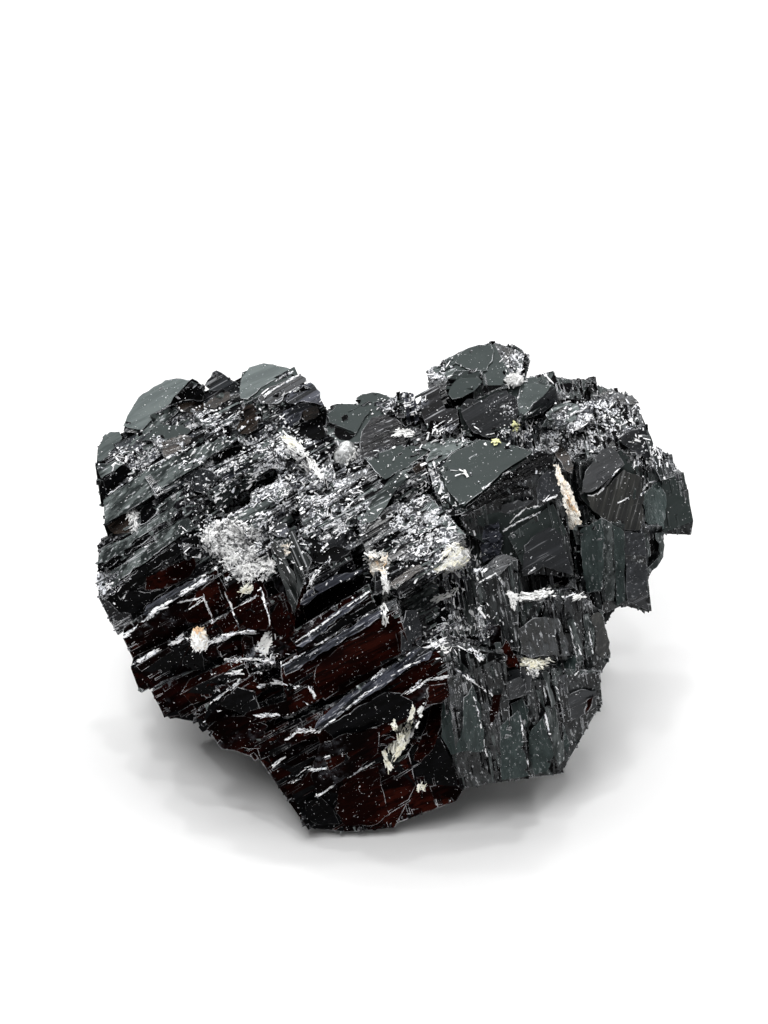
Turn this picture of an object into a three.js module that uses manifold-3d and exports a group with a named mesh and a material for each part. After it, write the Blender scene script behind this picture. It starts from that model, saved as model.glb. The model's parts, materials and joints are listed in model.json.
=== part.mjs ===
// A heart-shaped cluster of black cassiterite crystals with small grains of quartz, mica and feldspar on it.
// Lengths are millimetres. The cluster is described as it is seen from the front: u runs to the right,
// v up the front and w out of it, towards the viewer. The whole then leans back onto its flat underside.
import * as THREE from "three";
import { ConvexGeometry } from "three/addons/geometries/ConvexGeometry.js";
import { mergeVertices } from "three/addons/utils/BufferGeometryUtils.js";
import Module from "manifold-3d";

const wasm = await Module();
wasm.setup();

const VIEW_ELEVATION = 35; // degrees that the viewer of the front looks down by
const GRAIN_GAP = 0.3; // free space between a grain and the pocket it sits in
const GROUND_REACH = 200; // size of the block that cuts the underside flat
const COAT_COUNT = 14; // places for crystals all round a lump, of which those on its front are left bare
const COAT_DEPTH = [4.2, 3.6, 1.4]; // how far inside a lump's skin the middles of its coating crystals lie
const INWARD_STEPS = 12; // tries at moving a crystal inwards until it lies within the outline
const NEEDLE = 0.3; // width of the needle that feels how high the front stands

// The front surface bulges towards the viewer around this point.
const FRONT = { u: 0, v: 20, w: 12, bendU: 0.018, bendBelow: 0.03, bendAbove: 0.021 };

const black = new THREE.MeshStandardMaterial({ color: 0x17191a, roughness: 0.22, metalness: 0.1 });
const clear = new THREE.MeshStandardMaterial({ color: 0xcfd2d0, roughness: 0.1, metalness: 0 });
const silver = new THREE.MeshStandardMaterial({ color: 0xc9cac4, roughness: 0.4, metalness: 0 });
const cream = new THREE.MeshStandardMaterial({ color: 0xd9ccb0, roughness: 0.55, metalness: 0 });

// Depth of the front surface at a place on the front.
function frontDepth(u, v) {
  const bendV = v < FRONT.v ? FRONT.bendBelow : FRONT.bendAbove;
  return FRONT.w - FRONT.bendU * (u - FRONT.u) ** 2 - bendV * (v - FRONT.v) ** 2;
}

// A repeatable run of numbers from 0 to 1.
function makeRandom(seed) {
  let state = seed;
  return () => {
    state = (state * 1664525 + 1013904223) % 4294967296;
    return state / 4294967296;
  };
}

// A closed geometry as a solid that can be joined and cut.
function toSolid(geometry) {
  const bare = geometry.index ? geometry.toNonIndexed() : geometry.clone();
  bare.deleteAttribute("normal");
  bare.deleteAttribute("uv");
  const merged = mergeVertices(bare, 1e-4);
  return new wasm.Manifold(
    new wasm.Mesh({
      numProp: 3,
      vertProperties: new Float32Array(merged.attributes.position.array),
      triVerts: new Uint32Array(merged.index.array),
    }),
  );
}

function toGeometry(solid) {
  const mesh = solid.getMesh();
  const geometry = new THREE.BufferGeometry();
  geometry.setAttribute("position", new THREE.BufferAttribute(mesh.vertProperties, 3));
  geometry.setIndex(new THREE.BufferAttribute(mesh.triVerts, 1));
  geometry.computeVertexNormals();
  return geometry;
}

function hull(points) {
  return toSolid(new ConvexGeometry(points));
}

// A twelve-sided lump of the cluster's inside, which the crystals grow out of.
function lump([u, v, w], [ru, rv, rw]) {
  const core = new THREE.DodecahedronGeometry(1.06, 0);
  core.scale(ru, rv, rw);
  core.translate(u, v, w);
  return toSolid(core);
}

// Corners of a block crystal. Its long axis is at an angle in the front plane and leans out of it, and the block
// is turned about it. It narrows along its length to a share of its section.
function blockCorners({ at, size, angle, lean, turn, tip }) {
  const [length, width, thick] = size.map((s) => s / 2);
  const frame = new THREE.Matrix4()
    .makeTranslation(...at)
    .multiply(new THREE.Matrix4().makeRotationZ(THREE.MathUtils.degToRad(angle)))
    .multiply(new THREE.Matrix4().makeRotationY(THREE.MathUtils.degToRad(-lean)))
    .multiply(new THREE.Matrix4().makeRotationX(THREE.MathUtils.degToRad(turn)));
  const points = [];
  for (const [end, section] of [[-1, 1], [1, tip]]) {
    for (const [across, out] of [[-1, -1], [-1, 1], [1, -1], [1, 1]]) {
      const corner = new THREE.Vector3(length * end, across * width * section, out * thick * section);
      points.push(corner.applyMatrix4(frame));
    }
  }
  return points;
}

// Whether a point lies within the outline that the cluster shows from the front.
function isWithin({ x, y }) {
  let within = false;
  OUTLINE.forEach(([u, v], i) => {
    const [nextU, nextV] = OUTLINE[(i + 1) % OUTLINE.length];
    const crosses = v > y !== nextV > y && x < u + ((y - v) / (nextV - v)) * (nextU - u);
    if (crosses) within = !within;
  });
  return within;
}

// A block crystal, moved towards a point inside the cluster until it no longer stands out of the outline.
// Where it stays outside, there is none.
function blockWithin(shape, inner) {
  for (let step = 0; step < INWARD_STEPS; step++) {
    const share = (0.8 * step) / INWARD_STEPS;
    const at = shape.at.map((c, k) => c + (inner[k] - c) * share);
    const corners = blockCorners({ ...shape, at });
    if (corners.every(isWithin)) return [hull(corners)];
  }
  return [];
}

// A crystal whose front face has the outline given. The face tilts by slope, in w for each step of u and v,
// and the crystal goes back from it, narrowing to a share of the outline around a point moved by shift.
function plate({ outline, proud = 0, slope = [0, 0], thick = 8, narrow = 0.85, shift = [0, 0] }) {
  const cu = outline.reduce((sum, p) => sum + p[0], 0) / outline.length;
  const cv = outline.reduce((sum, p) => sum + p[1], 0) / outline.length;
  const depth = frontDepth(cu, cv) + proud;
  const points = outline.flatMap(([u, v]) => {
    const w = depth + slope[0] * (u - cu) + slope[1] * (v - cv);
    const backU = cu + shift[0] + narrow * (u - cu);
    const backV = cv + shift[1] + narrow * (v - cv);
    return [new THREE.Vector3(u, v, w), new THREE.Vector3(backU, backV, depth - thick)];
  });
  return hull(points);
}

// A ledge: a long crystal seen along one edge, its crest. The face above the crest looks up and the one below
// looks down. Its ends are cut off slanting, and it reaches back into the cluster.
function ledge({ from, to, top, front, proud = 0.6, root = 7, slant = 0.8 }) {
  const start = new THREE.Vector3(from[0], from[1], frontDepth(...from) + proud);
  const end = new THREE.Vector3(to[0], to[1], frontDepth(...to) + proud);
  const along = end.clone().sub(start).normalize();
  const up = new THREE.Vector3(-along.y, along.x, 0).normalize();
  const out = along.clone().cross(up).normalize();
  const section = [
    [0, 0],
    [top, -0.62 * top],
    [top * 0.8, -root],
    [-front * 0.8, -root],
    [-front, -0.3 * front],
  ];
  const points = section.flatMap(([rise, reach]) => {
    const side = up.clone().multiplyScalar(rise).addScaledVector(out, reach);
    return [
      start.clone().add(side).addScaledVector(along, slant * rise * 0.5 - reach * 0.12),
      end.clone().add(side).addScaledVector(along, slant * rise * 0.3 + reach * 0.12),
    ];
  });
  return hull(points);
}

// The outline of the cluster seen from the front, from the tip up the left side and around.
const OUTLINE = [
  [-8.4, 0.2], [-10.4, 3.3], [-13.2, 7.3], [-15.9, 8.3], [-18.9, 10.8], [-22.6, 11.6],
  [-25.9, 15.6], [-27.2, 20.3],
  [-29.9, 23.8], [-29.9, 26.3], [-29.1, 28.8], [-29.2, 32.3], [-30.2, 38.3], [-29.4, 39.6], [-27.6, 40.0],
  [-26.9, 42.3], [-24.9, 44.3], [-20.4, 45.4], [-16.9, 45.2], [-12.9, 46.6], [-8.9, 44.8], [-6.9, 42.4],
  [-3.4, 43.2], [0.6, 43.5], [2.6, 42.4], [3.5, 46.0], [6.1, 47.6], [10.0, 49.0], [13.6, 47.3], [16.6, 45.8],
  [20.3, 45.3], [24.6, 43.3], [25.8, 40.3], [28.1, 37.3], [29.8, 32.8], [30.1, 29.8],
  [27.4, 29.6], [26.6, 26.3],
  [25.1, 25.3], [25.4, 22.0], [20.6, 21.3], [21.2, 17.3], [20.3, 12.8], [17.1, 7.8], [16.6, 6.0], [13.6, 5.8],
  [7.1, 4.5], [3.6, 2.8], [0.1, 0.6], [-4.9, 0.0],
];

const LEFT = { angle: 30, lean: -14, turn: 38 };
const RIGHT = { angle: -79, lean: -30, turn: 25 };
const BACK = { angle: 24, lean: 8, turn: -35 };
const LUMPS = [
  { name: "left lobe", at: [-18, 33, -7.5], radii: [9.5, 9, 6.5], ...LEFT },
  { name: "left side", at: [-16, 23.5, -5.5], radii: [12, 10, 9], ...LEFT },
  { name: "right lobe", at: [13, 36, -8], radii: [12, 9.5, 7.5], ...RIGHT },
  { name: "right side", at: [12, 25, -5.5], radii: [12, 12, 10], ...RIGHT },
  { name: "middle", at: [-2, 23, -3.5], radii: [15, 14, 11.5], ...LEFT },
  { name: "foot", at: [1, 11, -7.5], radii: [11, 9, 9], ...RIGHT },
  { name: "heel", at: [0.5, 14, -15], radii: [12, 8.5, 10], ...LEFT },
  { name: "back", at: [0, 26, -13], radii: [18, 12.5, 8.5], ...BACK },
];
// The middle lump lies under the front's own crystals, so it has no coat.
const COATED = LUMPS.filter((l) => l.name !== "middle");

// The crests of the ledges that run up to the right across the left and middle of the front.
const LEDGES = [
  { from: [-29.2, 30.4], to: [-16.0, 38.2], top: 2.4, front: 1.6, proud: 1.2 },
  { from: [-29.8, 26.2], to: [-20.6, 32.0], top: 2.0, front: 1.0, proud: 1.4 },
  { from: [-29.6, 23.2], to: [-19.4, 30.4], top: 2.2, front: 4.2, proud: 2.2 },
  { from: [-27.0, 19.2], to: [-17.2, 25.6], top: 0.8, front: 3.2, proud: 1.8 },
  { from: [-26.2, 16.2], to: [-16.4, 20.8], top: 0.9, front: 2.6, proud: 1.5 },
  { from: [-23.4, 12.8], to: [-14.6, 17.0], top: 0.8, front: 1.6, proud: 1.1 },
  { from: [-19.6, 11.4], to: [-13.6, 15.4], top: 0.5, front: 1.4, proud: 1.2 },
  { from: [-17.6, 11.2], to: [-9.8, 13.6], top: 0.5, front: 1.4, proud: 0.8 },
  { from: [-13.6, 9.0], to: [-7.2, 12.0], top: 0.5, front: 1.7, proud: 0.8 },
  { from: [-11.2, 5.2], to: [-5.6, 7.2], top: 0.4, front: 1.4, proud: 0.4 },
  { from: [-9.6, 18.8], to: [-2.2, 23.6], top: 1.1, front: 1.2, proud: 1.3 },
  { from: [-11.0, 16.0], to: [0.4, 22.4], top: 1.0, front: 4.0, proud: 1.4 },
  { from: [-7.6, 10.4], to: [5.0, 18.8], top: 1.3, front: 4.0, proud: 1.8 },
  { from: [-1.8, 25.0], to: [6.4, 28.2], top: 0.8, front: 1.2, proud: 0.8 },
  { from: [-28.4, 33.4], to: [-21.0, 37.4], top: 1.4, front: 1.0, proud: 0.8 },
  { from: [-27.2, 36.6], to: [-17.2, 42.2], top: 1.5, front: 1.1, proud: 0.4 },
  { from: [-22.6, 36.0], to: [-13.0, 40.8], top: 1.2, front: 1.6, proud: 0.9 },
  { from: [-18.6, 34.4], to: [-10.4, 38.4], top: 1.4, front: 1.4, proud: 1.0 },
  { from: [-15.0, 42.6], to: [-9.6, 45.6], top: 0.9, front: 0.6, proud: 1.2 },
  { from: [-12.4, 42.0], to: [-8.8, 44.2], top: 0.9, front: 1.4, proud: 1.8 },
  { from: [-14.0, 31.6], to: [-5.8, 35.6], top: 1.8, front: 1.4, proud: 1.0 },
  { from: [-5.2, 32.4], to: [2.6, 37.6], top: 2.2, front: 1.2, proud: 1.2 },
];

// Rows of small crystals on the front: the first and last u of a row, and its v.
const RUBBLE_STEP = 6.0;
const RUBBLE_DIVIDE = 4;
const RUBBLE_ROWS = [
  [-22, -10, 42.6],
  [8, 24, 42.4],
  [-26, -6, 38.6],
  [5, 26, 39.0],
  [-22, 2, 34.8],
  [18, 26, 34.6],
  [-18, 0, 30.4],
  [-12, 2, 25.6],
];

// Crystals that show one flat face or more to the front, each with the outline of that face.
const PLATES = [
  // the glassy faces under the ledges at the lower left
  { outline: [[-22.8, 11.6], [-18.9, 10.8], [-13.6, 13.0], [-18.0, 17.0], [-24.0, 14.0]],
    slope: [0.0, 0.25], proud: -0.3, thick: 8, shift: [2, 3] },
  { outline: [[-18.9, 10.8], [-15.9, 8.3], [-13.2, 7.3], [-8.0, 11.0], [-11.0, 15.5], [-17.6, 14.6]],
    slope: [0.0, 0.25], proud: -0.3, thick: 8, shift: [2, 3] },
  { outline: [[-13.2, 7.3], [-10.4, 3.3], [-8.4, 0.2], [-5.0, 4.0], [-6.0, 12.0], [-11.4, 12.0]],
    slope: [0.0, 0.25], proud: -0.3, thick: 8, shift: [2, 3] },
  // the right lobe
  { outline: [[3.5, 46.0], [6.1, 47.6], [10.0, 49.0], [13.2, 47.8], [12.6, 44.6], [5.5, 42.6], [3.6, 42.8]],
    slope: [0.1, -0.7], proud: 0.5 },
  { outline: [[9.4, 48.4], [12.2, 48.7], [13.7, 47.2], [13.4, 45.4], [10.8, 44.4]],
    slope: [0.5, -0.2], proud: 0.9 },
  { outline: [[11.6, 45.0], [16.1, 45.7], [16.9, 43.9], [12.1, 40.4], [10.2, 42.0]],
    slope: [0.15, -0.8], proud: 1.6 },
  { outline: [[6.4, 42.2], [10.4, 44.0], [12.3, 42.9], [11.7, 39.6], [9.7, 38.5], [6.9, 39.7]],
    slope: [-0.2, 0.35], proud: 1.4 },
  { outline: [[2.6, 39.0], [6.4, 39.0], [14.2, 37.8], [15.4, 36.6], [6.6, 31.6], [5.4, 31.4], [4.0, 34.0]],
    slope: [0.05, -0.75], proud: 1.8, thick: 9 },
  { outline: [[15.4, 36.4], [16.8, 33.4], [17.7, 25.4], [11.2, 27.4], [7.2, 29.8], [6.6, 31.2]],
    slope: [0.0, 0.45], proud: 0.6, thick: 10 },
  { outline: [[15.6, 32.6], [17.0, 29.8], [17.7, 25.4], [13.0, 25.8], [11.2, 29.4]],
    slope: [-0.1, 0.15], proud: 1.7 },
  { outline: [[16.0, 45.6], [19.6, 45.0], [24.4, 43.4], [25.6, 40.4], [22.6, 38.6], [16.6, 38.2],
    [15.4, 42.6]],
    slope: [-0.15, -0.6], proud: 0.4 },
  { outline: [[19.5, 44.6], [20.3, 45.6], [21.0, 43.6], [19.6, 42.6]],
    slope: [0.3, 0.1], proud: 1.2, thick: 5 },
  { outline: [[16.6, 42.8], [23.6, 42.6], [25.2, 40.0], [17.4, 39.4]], slope: [-0.1, -0.95], proud: 1.2 },
  { outline: [[15.2, 40.2], [21.8, 40.6], [24.4, 38.2], [16.6, 37.4]], slope: [-0.05, -0.9], proud: 1.4 },
  { outline: [[18.4, 36.4], [22.6, 38.0], [24.3, 36.3], [24.9, 29.9], [23.4, 29.6], [20.9, 30.7],
    [18.6, 33.2]],
    slope: [-0.25, 0.3], proud: 2.4, thick: 8, shift: [-1, 1.5] },
  { outline: [[22.4, 39.4], [25.2, 40.4], [26.6, 35.6], [27.4, 29.9], [24.6, 29.8], [23.8, 35.6]],
    slope: [-0.45, 0.3], proud: 2.0, thick: 8, shift: [-1, 1] },
  { outline: [[25.6, 38.8], [28.0, 37.6], [29.0, 35.6], [27.0, 34.6], [25.8, 36.0]],
    slope: [-0.4, -0.5], proud: 1.4 },
  { outline: [[27.0, 35.0], [29.2, 35.8], [30.3, 30.9], [30.1, 29.5], [27.0, 29.6]],
    slope: [-0.35, 0.3], proud: 2.2, thick: 7, shift: [-1.5, 1] },
  { outline: [[21.8, 30.6], [26.8, 30.4], [27.0, 27.9], [25.4, 25.0], [22.4, 24.4]],
    slope: [-0.4, 0.5], proud: 0.6, shift: [-1, 1] },
  { outline: [[22.4, 27.6], [25.0, 27.4], [25.5, 21.8], [22.6, 22.6]],
    slope: [-0.3, 0.55], proud: 1.8, shift: [-1, 1.5] },
  { outline: [[18.0, 30.4], [20.2, 30.6], [20.8, 21.4], [18.0, 23.4]], slope: [0.35, 0.55], proud: 0.9 },
  { outline: [[19.8, 31.0], [22.8, 30.6], [23.0, 22.6], [20.4, 21.4]],
    slope: [-0.5, 0.55], proud: 1.2, shift: [-1, 1] },
  { outline: [[11.4, 23.4], [17.6, 24.4], [20.6, 21.7], [21.2, 17.2], [20.2, 15.4], [15.4, 15.8],
    [12.1, 17.3]],
    slope: [-0.2, 0.5], proud: 0.6, thick: 10, shift: [-1, 1] },
  { outline: [[11.6, 23.2], [15.2, 23.8], [17.0, 17.4], [12.2, 17.2]], slope: [0.3, 0.4], proud: 1.2 },
  { outline: [[16.6, 24.0], [18.2, 23.8], [18.8, 15.6], [17.0, 15.4]],
    slope: [-0.2, 0.5], proud: 1.7, shift: [-1, 1] },
  { outline: [[11.0, 16.8], [20.3, 16.2], [20.4, 12.8], [17.4, 7.8], [16.6, 5.8], [13.3, 5.4], [10.4, 5.0]],
    slope: [-0.2, 0.6], proud: 0.2, thick: 10, shift: [-2, 2] },
  { outline: [[12.6, 15.2], [15.4, 15.4], [15.8, 5.8], [13.0, 5.4]],
    slope: [0.25, 0.6], proud: 0.8, shift: [-1, 2] },
  { outline: [[9.8, 10.4], [12.8, 11.4], [13.4, 5.5], [10.2, 5.1]],
    slope: [0.1, 0.6], proud: 0.9, shift: [-1, 2] },
  { outline: [[4.4, 19.0], [10.8, 18.0], [11.4, 10.8], [10.4, 5.2], [6.6, 4.4], [5.0, 12.8]],
    slope: [0.15, 0.6], proud: 0.3, thick: 9, shift: [-1, 2] },
  { outline: [[5.2, 15.8], [7.4, 16.2], [8.6, 6.4], [6.4, 5.6]],
    slope: [-0.2, 0.6], proud: 1.2, shift: [0, 2] },
  { outline: [[8.0, 26.0], [12.0, 27.2], [12.2, 18.2], [8.4, 19.0]], slope: [0.2, 0.3], proud: 0.6 },
  // the tip
  { outline: [[0.1, 0.8], [3.6, 2.7], [6.2, 3.2], [7.0, 4.6], [4.6, 9.6], [0.4, 9.4]],
    slope: [0.1, 0.5], proud: -0.4, thick: 8, shift: [0, 3] },
  { outline: [[-8.4, 0.4], [-4.9, 0.0], [0.1, 0.4], [2.2, 4.8], [1.0, 10.2], [-6.4, 9.0], [-10.2, 3.6]],
    slope: [0.0, 0.6], proud: 0.1, thick: 8, shift: [0, 3] },
  // the left lobe and the notch
  { outline: [[-27.5, 40.0], [-27.0, 41.6], [-25.9, 43.5], [-24.7, 44.3], [-23.2, 44.5],
    [-21.4, 43.6], [-24.6, 39.6]],
    slope: [0.1, -0.35], proud: 0.2, thick: 5 },
  { outline: [[-23.9, 44.5], [-23.2, 45.2], [-21.8, 45.5], [-20.2, 45.1], [-20.9, 43.0], [-23.0, 42.6]],
    slope: [0, -0.4], proud: -0.8, thick: 5 },
  { outline: [[-22.6, 42.7], [-20.4, 45.0], [-19.2, 44.6], [-18.9, 42.8], [-19.6, 40.4], [-22.0, 40.4]],
    slope: [0.2, 0.5], proud: 0.8, thick: 6 },
  { outline: [[-18.5, 45.0], [-18.1, 45.8], [-17.1, 45.6], [-15.5, 44.6], [-15.6, 41.6], [-18.9, 42.0]],
    slope: [-0.2, 0.4], proud: 0.6, thick: 6 },
  { outline: [[-15.5, 44.4], [-15.3, 45.9], [-14.1, 46.4], [-12.2, 46.5], [-10.2, 46.0],
    [-11.6, 43.4], [-15.1, 42.4]],
    slope: [0, -0.45], proud: -0.2, thick: 5 },
  { outline: [[-10.8, 43.0], [-8.9, 44.4], [-7.6, 43.8], [-6.6, 41.8], [-6.9, 38.2], [-9.4, 37.2],
    [-12.0, 40.6]],
    slope: [0.1, 0.3], proud: 0.9, thick: 7 },
  { outline: [[-15.7, 40.2], [-14.8, 42.0], [-13.6, 42.3], [-13.0, 40.0], [-14.7, 39.0]],
    slope: [0.2, 0.1], proud: 1.6 },
  { outline: [[-30.3, 36.4], [-30.2, 38.2], [-29.4, 39.6], [-27.6, 39.8], [-26.6, 38.0], [-28.8, 35.8]],
    slope: [0.3, -0.2], proud: 0.8, thick: 5 },
  { outline: [[-30.2, 36.6], [-26.8, 38.4], [-22.4, 35.6], [-24.6, 33.0], [-29.6, 32.4]],
    slope: [0.1, 0.1], proud: 0.3 },
  { outline: [[-6.9, 41.6], [-5.9, 42.5], [-2.0, 42.7], [-0.7, 41.6], [-3.4, 38.6], [-6.8, 39.0]],
    slope: [0, -0.7], proud: -1.0, thick: 6 },
  { outline: [[-3.6, 43.0], [-2.6, 43.7], [-0.6, 43.5], [1.4, 42.0], [0.4, 39.6], [-3.6, 40.4]],
    slope: [0, -0.5], proud: -2.0, thick: 5 },
  { outline: [[0.3, 43.4], [1.0, 43.7], [2.0, 43.4], [2.8, 40.0], [0.6, 39.8]],
    slope: [0.3, 0.2], proud: 0.2, thick: 6 },
  { outline: [[-6.4, 39.4], [-3.0, 40.6], [3.4, 40.6], [4.6, 36.8], [-5.6, 36.2]],
    slope: [0, -0.8], proud: -1.6 },
  // the middle
  { outline: [[-12.4, 29.2], [-9.6, 30.4], [-7.8, 27.4], [-9.4, 21.8], [-11.6, 24.4]],
    slope: [0.3, 0.2], proud: 1.2 },
  { outline: [[-9.4, 33.2], [-5.0, 33.6], [-4.4, 28.6], [-8.4, 28.2]], slope: [-0.1, -0.2], proud: 0.8 },
  { outline: [[-4.6, 36.4], [1.2, 38.6], [3.2, 35.2], [-3.6, 31.6]], slope: [0.05, -0.6], proud: 0.6 },
  { outline: [[-3.6, 31.4], [3.4, 33.4], [7.0, 29.6], [4.4, 26.8], [-2.6, 27.4]],
    slope: [0.05, -0.15], proud: 0.7 },
  { outline: [[-17.0, 27.0], [-11.6, 29.6], [-9.6, 22.4], [-15.6, 20.6]], slope: [0.1, 0.3], proud: 0.3 },
  { outline: [[-15.4, 21.6], [-10.8, 23.8], [-9.0, 18.2], [-13.6, 16.6]], slope: [0.1, 0.35], proud: 0.6 },
];

// Small grains of other minerals, each in a pocket of the cassiterite.
const GRAINS = [
  { name: "quartz_bead", at: [-4.9, 37.5], size: [2.0, 2.5, 2.0], angle: -25, material: clear },
  { name: "mica_patch", at: [-15.4, 28.4], size: [7.6, 4.6, 2.4], angle: -32, material: silver },
  { name: "mica_tuft", at: [5.9, 27.3], size: [2.8, 2.0, 1.6], angle: 25, material: silver },
  { name: "feldspar_bead", at: [-1.6, 26.3], size: [1.5, 2.3, 1.5], angle: 15, material: cream },
  { name: "feldspar_vein", at: [17.3, 32.6], size: [6.4, 1.2, 1.4], angle: -72, material: cream },
  { name: "mica_blades", at: [0.4, 9.2], size: [4.6, 2.4, 1.4], angle: 74, material: silver },
  { name: "mica_fork", at: [13.4, 16.8], size: [3.2, 1.2, 1.2], angle: 8, material: silver },
  { name: "mica_sliver", at: [-8.9, 36.7], size: [6.2, 1.1, 1.2], angle: -46, material: silver },
  { name: "mica_lip", at: [13.9, 23.6], size: [4.6, 0.9, 1.1], angle: 6, material: silver },
  { name: "feldspar_chip", at: [-19.1, 19.4], size: [1.6, 2.2, 1.2], angle: 5, material: cream },
  { name: "quartz_grain", at: [-26.2, 31.1], size: [1.3, 2.1, 1.3], angle: 20, material: clear },
  { name: "mica_speck", at: [12.1, 45.0], size: [1.6, 1.2, 1.0], angle: 10, material: silver },
];

// Block crystals that cover the sides, top and back of each lump, with their axes along the lump's own.
function coat(parent, seed) {
  const random = makeRandom(seed);
  const golden = Math.PI * (3 - Math.sqrt(5));
  const blocks = [];
  for (let i = 0; i < COAT_COUNT; i++) {
    const out = 1 - (2 * (i + 0.5)) / COAT_COUNT;
    const ring = Math.sqrt(1 - out * out);
    const direction = [ring * Math.cos(i * golden), ring * Math.sin(i * golden), out];
    const size = [8 + 5 * random(), 4.5 + 3 * random(), 3.4 + 2.2 * random()];
    const wander = [(random() - 0.5) * 7, (random() - 0.5) * 10, (random() - 0.5) * 16];
    if (out > 0.02) continue;
    const shape = {
      at: parent.at.map((c, k) => c + direction[k] * (parent.radii[k] - COAT_DEPTH[k])),
      size,
      angle: parent.angle + wander[0],
      lean: parent.lean + wander[1],
      turn: parent.turn + wander[2],
      tip: 0.65 + 0.3 * random(),
    };
    blocks.push(...blockWithin(shape, parent.at));
  }
  return blocks;
}

// Small crystals that fill the front between the larger ones, on a loose grid, each aligned with its side.
function rubble(seed) {
  const random = makeRandom(seed);
  const blocks = [];
  for (const [first, last, v] of RUBBLE_ROWS) {
    for (let u = first; u <= last; u += RUBBLE_STEP) {
      const at = [u + 2.4 * (random() - 0.5), v + 2.4 * (random() - 0.5)];
      const side = at[0] < RUBBLE_DIVIDE ? LEFT : RIGHT;
      const shape = {
        at: [...at, frontDepth(...at) - 1.1 + 0.8 * random()],
        size: [3.4 + 3.2 * random(), 1.5 + 1.4 * random(), 3.0 + 1.2 * random()],
        angle: side.angle + 8 * (random() - 0.5),
        lean: side.lean + 14 * (random() - 0.5),
        turn: side.turn + 24 * (random() - 0.5),
        tip: 0.65 + 0.3 * random(),
      };
      blocks.push(...blockWithin(shape, [FRONT.u, FRONT.v, 0]));
    }
  }
  return blocks;
}

// Height of a solid's front at a place: the mean over a grain's middle and its two ends.
function surfaceUnder(solid, { at, size, angle }) {
  const reach = (size[0] / 2) * 0.7;
  const along = THREE.MathUtils.degToRad(angle);
  const step = [Math.cos(along) * reach, Math.sin(along) * reach];
  const heights = [-1, 0, 1].map((k) => {
    const needle = new THREE.BoxGeometry(NEEDLE, NEEDLE, GROUND_REACH);
    needle.translate(at[0] + k * step[0], at[1] + k * step[1], 0);
    return solid.intersect(toSolid(needle)).boundingBox().max[2];
  });
  const found = heights.filter(Number.isFinite);
  return found.reduce((sum, h) => sum + h, 0) / found.length;
}

// The grain's own lumpy shape, or the pocket that holds it with a gap all round.
function grain({ at, size, angle, sunk = 0.1, height }, grow) {
  const random = makeRandom(Math.round(Math.abs(at[0] * 91 + at[1] * 37)));
  const ball = new THREE.IcosahedronGeometry(1, 1).deleteAttribute("normal").deleteAttribute("uv");
  const place = mergeVertices(ball).attributes.position;
  const points = [];
  for (let i = 0; i < place.count; i++) {
    const swell = 0.86 + 0.28 * random();
    points.push(
      new THREE.Vector3(
        place.getX(i) * (size[0] / 2) * swell,
        place.getY(i) * (size[1] / 2) * swell,
        place.getZ(i) * (size[2] / 2) * swell,
      ),
    );
  }
  const spread = points.map((p) => {
    const length = p.length();
    return p.multiplyScalar((length + grow) / length);
  });
  const turn = new THREE.Matrix4().makeRotationZ(THREE.MathUtils.degToRad(angle));
  turn.setPosition(at[0], at[1], height - sunk * size[2]);
  return hull(spread.map((p) => p.applyMatrix4(turn)));
}

// Leans a solid back from the front view onto the ground.
function leanBack(solid) {
  return solid.rotate([90 - VIEW_ELEVATION, 0, 0]);
}

function join(solids) {
  return wasm.Manifold.union(solids);
}

const ground = toSolid(new THREE.BoxGeometry(GROUND_REACH, GROUND_REACH, GROUND_REACH)).translate([
  0, 0, -GROUND_REACH / 2,
]);

const crystals = [
  ...LUMPS.map((l) => lump(l.at, l.radii)),
  ...COATED.flatMap((l, i) => coat(l, 11 + 7 * i)),
  ...rubble(5),
  ...LEDGES.map(ledge),
  ...PLATES.map(plate),
];
const joined = join(crystals);
const grains = GRAINS.map((g) => ({ ...g, height: surfaceUnder(joined, g) }));
const pockets = grains.map((g) => grain(g, GRAIN_GAP));
const grown = leanBack(joined.subtract(join(pockets))).subtract(ground);
const cassiterite = grown.decompose().sort((a, b) => b.volume() - a.volume())[0];

const cluster = new THREE.Group();

function addNode(name, solid, material) {
  const mesh = new THREE.Mesh(toGeometry(solid), material);
  mesh.name = name;
  cluster.add(mesh);
}

addNode("cassiterite", cassiterite, black);
for (const g of grains) addNode(g.name, leanBack(grain(g, 0)), g.material);

// The origin is the middle of the underside of the cluster's box.
const box = new THREE.Box3().setFromObject(cluster);
const middle = box.getCenter(new THREE.Vector3());
cluster.position.set(-middle.x, -middle.y, -box.min.z);

export default cluster;
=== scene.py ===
"""The looks of a black cassiterite specimen: striated crystals, ledges, glitter and grains of other minerals.

Places on the front are given in millimetres as seen from the front: u to the right and v up the picture, with
the bottom of the specimen at v = 0 and its middle at u = 0, and w out of it, towards the viewer.
"""
import json
import math

import bmesh
import bpy
import numpy as np
from mathutils import Matrix, Vector
from mathutils.bvhtree import BVHTree

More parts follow.
